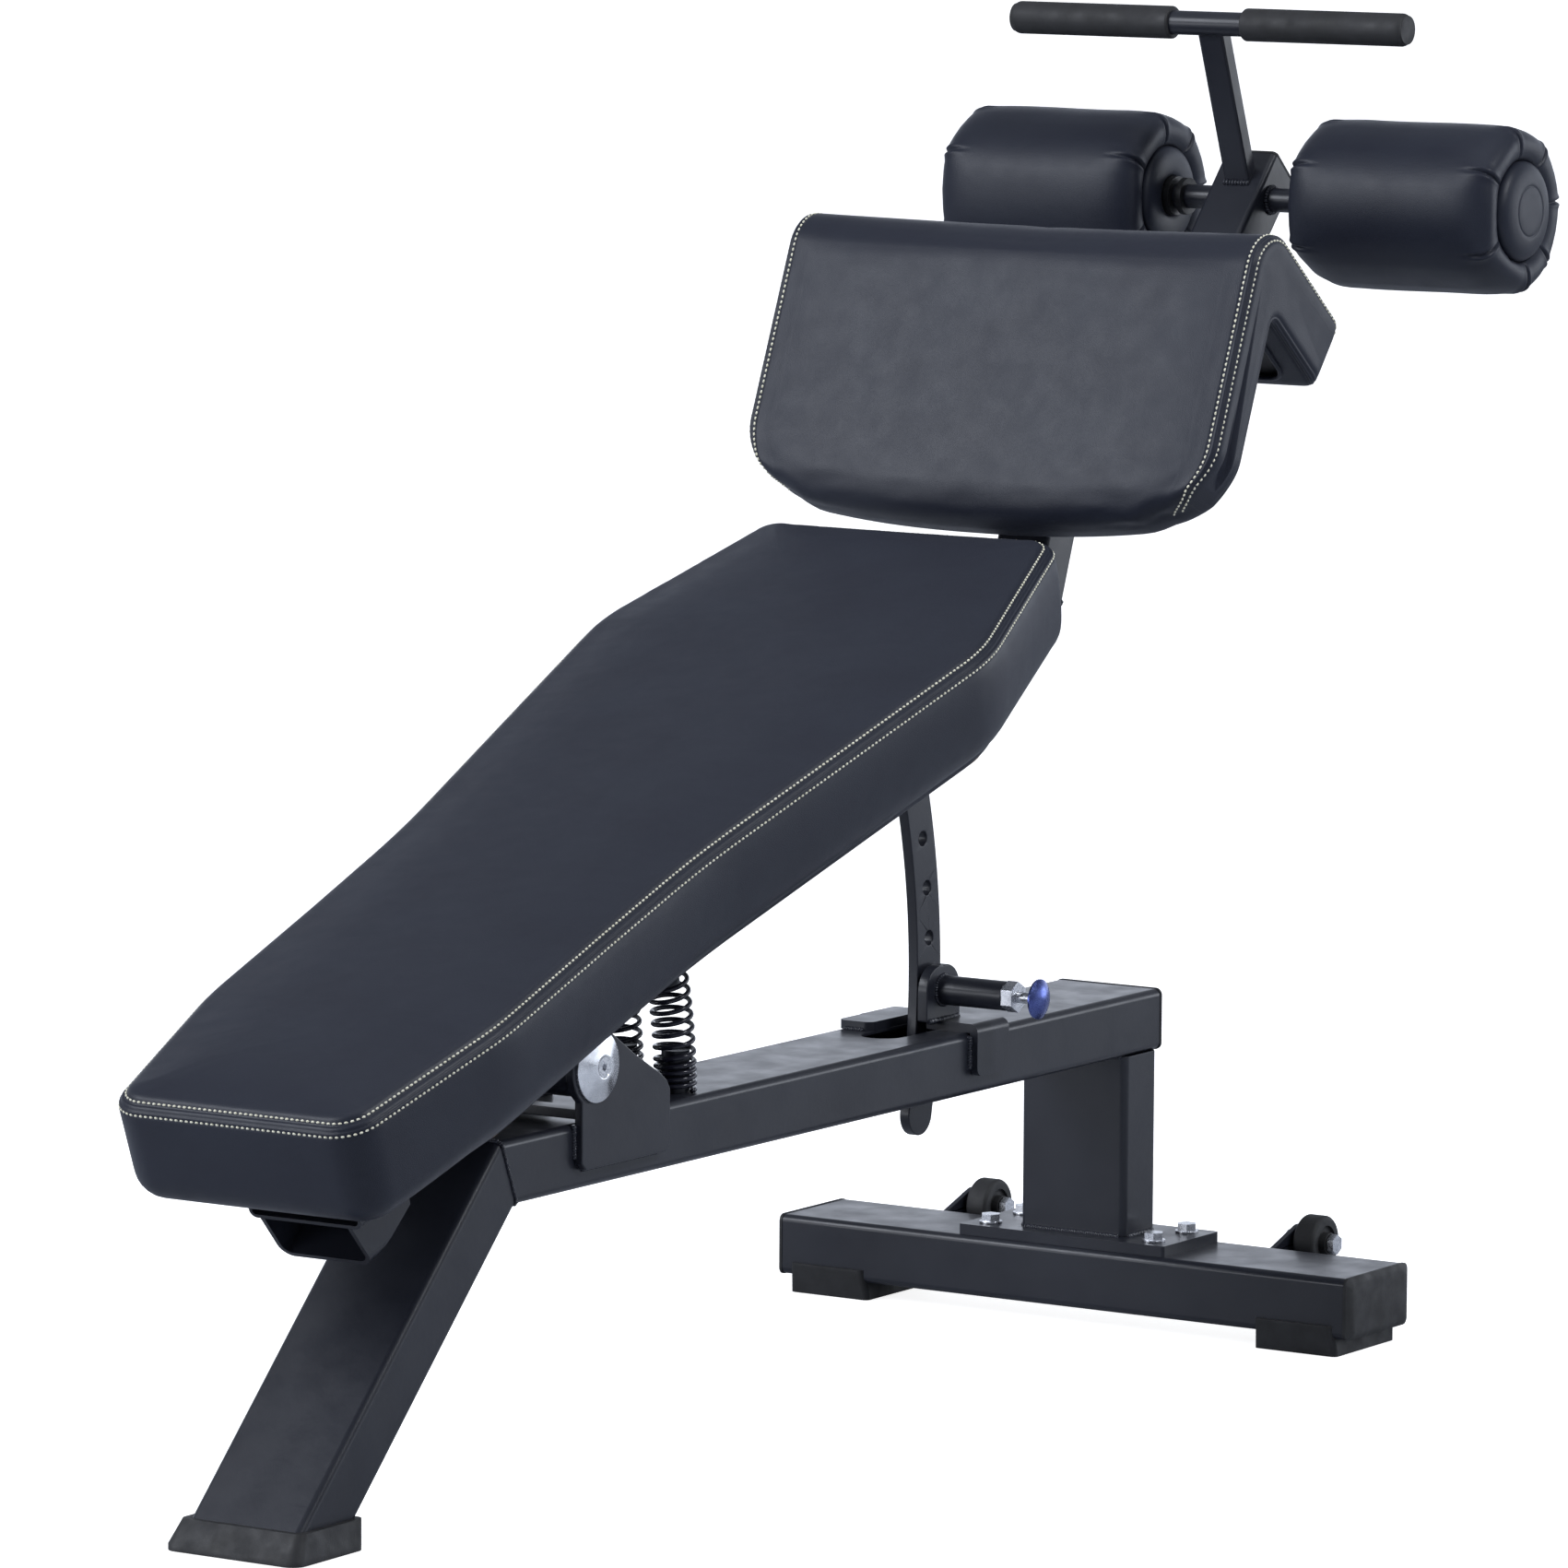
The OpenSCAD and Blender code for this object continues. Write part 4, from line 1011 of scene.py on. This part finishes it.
def weld_ears(pile):
    beam_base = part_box("main_beam")[0].z
    front_y, rear_y, top_z = 0.3535, 0.4845, 0.298
    for s in (-1, 1):
        lo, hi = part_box("pivot_ear_right" if s > 0 else "pivot_ear_left")
        x = lo.x if s > 0 else hi.x
        under = lo.z - 0.0005
        bead(pile, [(x, lo.y + 0.014, beam_base + 0.028), (x, front_y, top_z)], 3.2)
        bead(pile, [(x, rear_y, 0.270), (x, rear_y, top_z)], 3.0)
        bead(pile, [(x, 0.365, under), (x, 0.474, under)], 2.2)


def weld_rear_post(pile):
    """Round its foot, and along the front and the back of its head."""
    lo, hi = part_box("rear_post")
    foot, head = 0.007, 0.006
    runs = [((lo.x + foot, y, lo.z), (hi.x - foot, y, lo.z)) for y in (lo.y, hi.y)]
    runs += [((x, lo.y + foot, lo.z), (x, hi.y - foot, lo.z)) for x in (lo.x, hi.x)]
    runs += [((lo.x + head, y, hi.z), (hi.x - head, y, hi.z)) for y in (lo.y, hi.y)]
    for run in runs:
        bead(pile, run, 3.0)


def weld_pin_housing(pile):
    """The saddle's legs and top, the lug and the foot of the barrel."""
    front_y, rear_y, top_z = 0.9655, 1.0185, 0.3005
    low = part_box("saddle_bracket")[0].z + 0.008
    for x in (-0.055, 0.055):
        bead(pile, [(x, front_y, low), (x, front_y, 0.296)], 3.2)
        bead(pile, [(x, rear_y, low), (x, rear_y, 0.296)], 2.8)
    bead(pile, [(-0.046, 0.9225, top_z), (-0.029, 0.9225, top_z)], 2.6)
    bead(pile, [(-0.040, rear_y, top_z), (0.040, rear_y, top_z)], 2.6)
    lo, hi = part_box("pin_lug")
    bead(pile, [(hi.x, lo.y + 0.004, lo.z), (hi.x, hi.y - 0.004, lo.z)], 2.8)
    lo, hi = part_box("pin_barrel")
    centre = Vector((lo.x, (lo.y + hi.y) / 2, (lo.z + hi.z) / 2))
    bead(pile, round_ring(centre, Y_AXIS, Z_AXIS, (hi.z - lo.z) / 2, 40), 2.2, 2.2, True)


def weld_mitre(pile, section, place, centre, half, lean):
    """Round a rectangular section cut at an angle: section is (x, height from -1 to 1), centre is along and
    up, half the tube's half height, and lean the cut's slope in degrees."""
    angle = math.radians(lean)
    half /= math.cos(angle)
    loop = [place(x, centre[0] - math.sin(angle) * v * half, centre[1] + math.cos(angle) * v * half)
            for x, v in section]
    bead(pile, loop, 1.9, 1.9, True)


def section(corner_x, side_x, corner_v):
    """A rectangular tube's section with its corners cut."""
    return [(-corner_x, -1), (corner_x, -1), (side_x, -corner_v), (side_x, corner_v),
            (corner_x, 1), (-corner_x, 1), (-side_x, corner_v), (-side_x, -corner_v)]


def build_welds():
    pile = Pile()
    weld_ears(pile)
    weld_rear_post(pile)
    weld_pin_housing(pile)
    beam_tube = section(0.052, 0.0552, 0.9)
    weld_mitre(pile, beam_tube, lambda x, y, z: Vector((x, y, z)), (0.2603, 0.2725), 0.0275, 22.5)
    give(pile.object("frame_welds"), WELD, "frame")

    pile = Pile()
    for s in (-1, 1):
        bead(pile, [bench(s * 45, -326, 27), bench(s * 45, -256, 27)], 2.4)
    riser_u = 620.5
    bead(pile, [bench(-25, riser_u, 56.5), bench(25, riser_u, 56.5)], 2.6)
    for s in (-1, 1):
        bead(pile, [bench(s * 26.8, riser_u, 53), bench(s * 26.8, riser_u, 29)], 2.6)
        bead(pile, [bench(s * 5.2, 385, 26.5), bench(s * 5.2, 560, 26.5)], 2.4)
    small_tube = section(24, 27, 0.85)
    weld_mitre(pile, small_tube, bench, (835.6, 34), 23, 24.5)
    weld_mitre(pile, small_tube, bench, (1150, 125), 23, 13.5)
    bead(pile, [bench(-12, 1292.5, 223.5), bench(12, 1292.5, 223.5)], 3.4, 3.0)
    axis = Vector(JOINTS["roller_right_spin"]["pos_m"])
    for x in (-0.028, 0.028):
        centre = Vector((x, axis.y, axis.z))
        bead(pile, round_ring(centre, Y_AXIS, Z_AXIS, 0.0115, 32), 2.6, 2.6, True)
    give(pile.object("bench_welds"), WELD, "bench")


build_welds()


# ---------------------------------------------------------------- floor, lights, camera

FLOOR_RADII = (0.0, 0.5, 1, 2, 4, 8, 16, 30)
FLOOR_SIDES = 64


def split_by_ray(tree, lit, seen, output):
    """The camera's own rays meet the shader seen, and every other ray the shader lit."""
    path = tree.nodes.new("ShaderNodeLightPath")
    mix = tree.nodes.new("ShaderNodeMixShader")
    tree.links.new(path.outputs["Is Camera Ray"], mix.inputs["Fac"])
    tree.links.new(lit.outputs[0], mix.inputs[1])
    tree.links.new(seen.outputs[0], mix.inputs[2])
    tree.links.new(mix.outputs[0], tree.nodes[output].inputs["Surface"])


def build_floor():
    """A pale floor that is white to the eye and dull to what it lights."""
    centre = Vector((0, 0.7, -0.0005))
    verts = []
    for radius in FLOOR_RADII:
        verts += round_ring(centre, X_AXIS, Y_AXIS, radius, FLOOR_SIDES)
    floor = mesh_object("floor", verts, grid_faces(len(FLOOR_RADII), FLOOR_SIDES))
    mat, tree, shader = new_material("pale floor", (0.86, 0.86, 0.87), 0.6, Emission_Color=(1, 1, 1, 1),
                                     Emission_Strength=0.88)
    v = object_coords(tree)
    tinted(tree, shader, noise(tree, v, 3, 4), (0.85, 0.85, 0.86), (0.87, 0.87, 0.875))
    bump(tree, shader, (noise(tree, v, 200, 2), 0.05, 0.0004))
    dull = node(tree, "ShaderNodeBsdfDiffuse", Color=(0.50, 0.52, 0.56, 1))
    split_by_ray(tree, dull, shader, "Material Output")
    floor.data.materials.append(mat)


def build_studio():
    """Dim overhead, bright along the horizon behind the bench, and white to the eye."""
    world = bpy.data.worlds.new("studio")
    SCENE.world = world
    world.use_nodes = True
    tree = world.node_tree
    back = tree.nodes["Background"]
    back.inputs["Color"].default_value = (0.82, 0.88, 1.0, 1)
    coords = tree.nodes.new("ShaderNodeTexCoord")
    axes = tree.nodes.new("ShaderNodeSeparateXYZ")
    tree.links.new(coords.outputs["Generated"], axes.inputs[0])

    def product(a, b):
        n = node(tree, "ShaderNodeMath", operation="MULTIPLY")
        tree.links.new(a, n.inputs[0])
        tree.links.new(b, n.inputs[1])
        return n.outputs[0]

    above = ranged(tree, axes.outputs["Z"], 0, 1, -0.10, 0.02)
    below = ranged(tree, axes.outputs["Z"], 1, 0, 0.14, 0.42)
    behind = ranged(tree, axes.outputs["Y"], 0, 1, 0.1, 0.6)
    glow = product(product(above, below), behind)
    tree.links.new(ranged(tree, glow, 0.32, 1.6, 0, 1), back.inputs["Strength"])
    white = node(tree, "ShaderNodeBackground", Color=(1, 1, 1, 1), Strength=1.0)
    split_by_ray(tree, back, white, "World Output")


def lamp(name, place, target, size, power, color):
    data = bpy.data.lights.new(name, "AREA")
    data.shape = "RECTANGLE"
    data.size, data.size_y = size
    data.energy = power
    data.color = color
    ob = bpy.data.objects.new(name, data)
    SCENE.collection.objects.link(ob)
    ob.location = place
    ob.rotation_euler = (Vector(target) - Vector(place)).to_track_quat("-Z", "Y").to_euler()


def build_stage():
    build_floor()
    build_studio()
    lamp("key light", (-3.5, -3.5, 4.0), (0, 1.0, 0.8), (3.6, 2.7), 262, (0.88, 0.92, 1))
    lamp("front light", (-3.0, -3.7, 0.75), (0, 0.6, 0.4), (2.6, 1.4), 46, (0.9, 0.93, 1))
    lamp("edge light", (2.9, 1.0, 3.2), (0, 0.3, 0.4), (0.9, 0.9), 64, (0.92, 0.95, 1))
    lamp("right light", (3.2, 5.2, 0.9), (0, 0.8, 0.5), (2.6, 1.6), 30, (0.9, 0.94, 1))
    lamp("top light", (0.2, 0.6, 4.2), (0, 0.8, 0.4), (3.0, 3.0), 25, (0.88, 0.92, 1))


build_stage()


def build_camera():
    """The photograph's angle: a long lens from the front right, a little above the bench."""
    azimuth, elevation, roll = math.radians(33.05), math.radians(7.13), math.radians(0.334)
    target = Vector((0.0145, 0.7283, 0.5404))
    distance = 8.050
    back = Vector((math.sin(azimuth) * math.cos(elevation), -math.cos(azimuth) * math.cos(elevation),
                   math.sin(elevation)))
    data = bpy.data.cameras.new("camera")
    data.sensor_width = 36
    data.lens = 217.1
    data.clip_start, data.clip_end = 0.1, 100
    ob = bpy.data.objects.new("camera", data)
    SCENE.collection.objects.link(ob)
    ob.rotation_mode = "QUATERNION"
    ob.location = target + back * distance
    face = (-back).to_track_quat("-Z", "Y")
    ob.rotation_quaternion = face @ Matrix.Rotation(roll, 4, "Z").to_quaternion()
    SCENE.camera = ob


build_camera()
SCENE.view_settings.view_transform = "Standard"
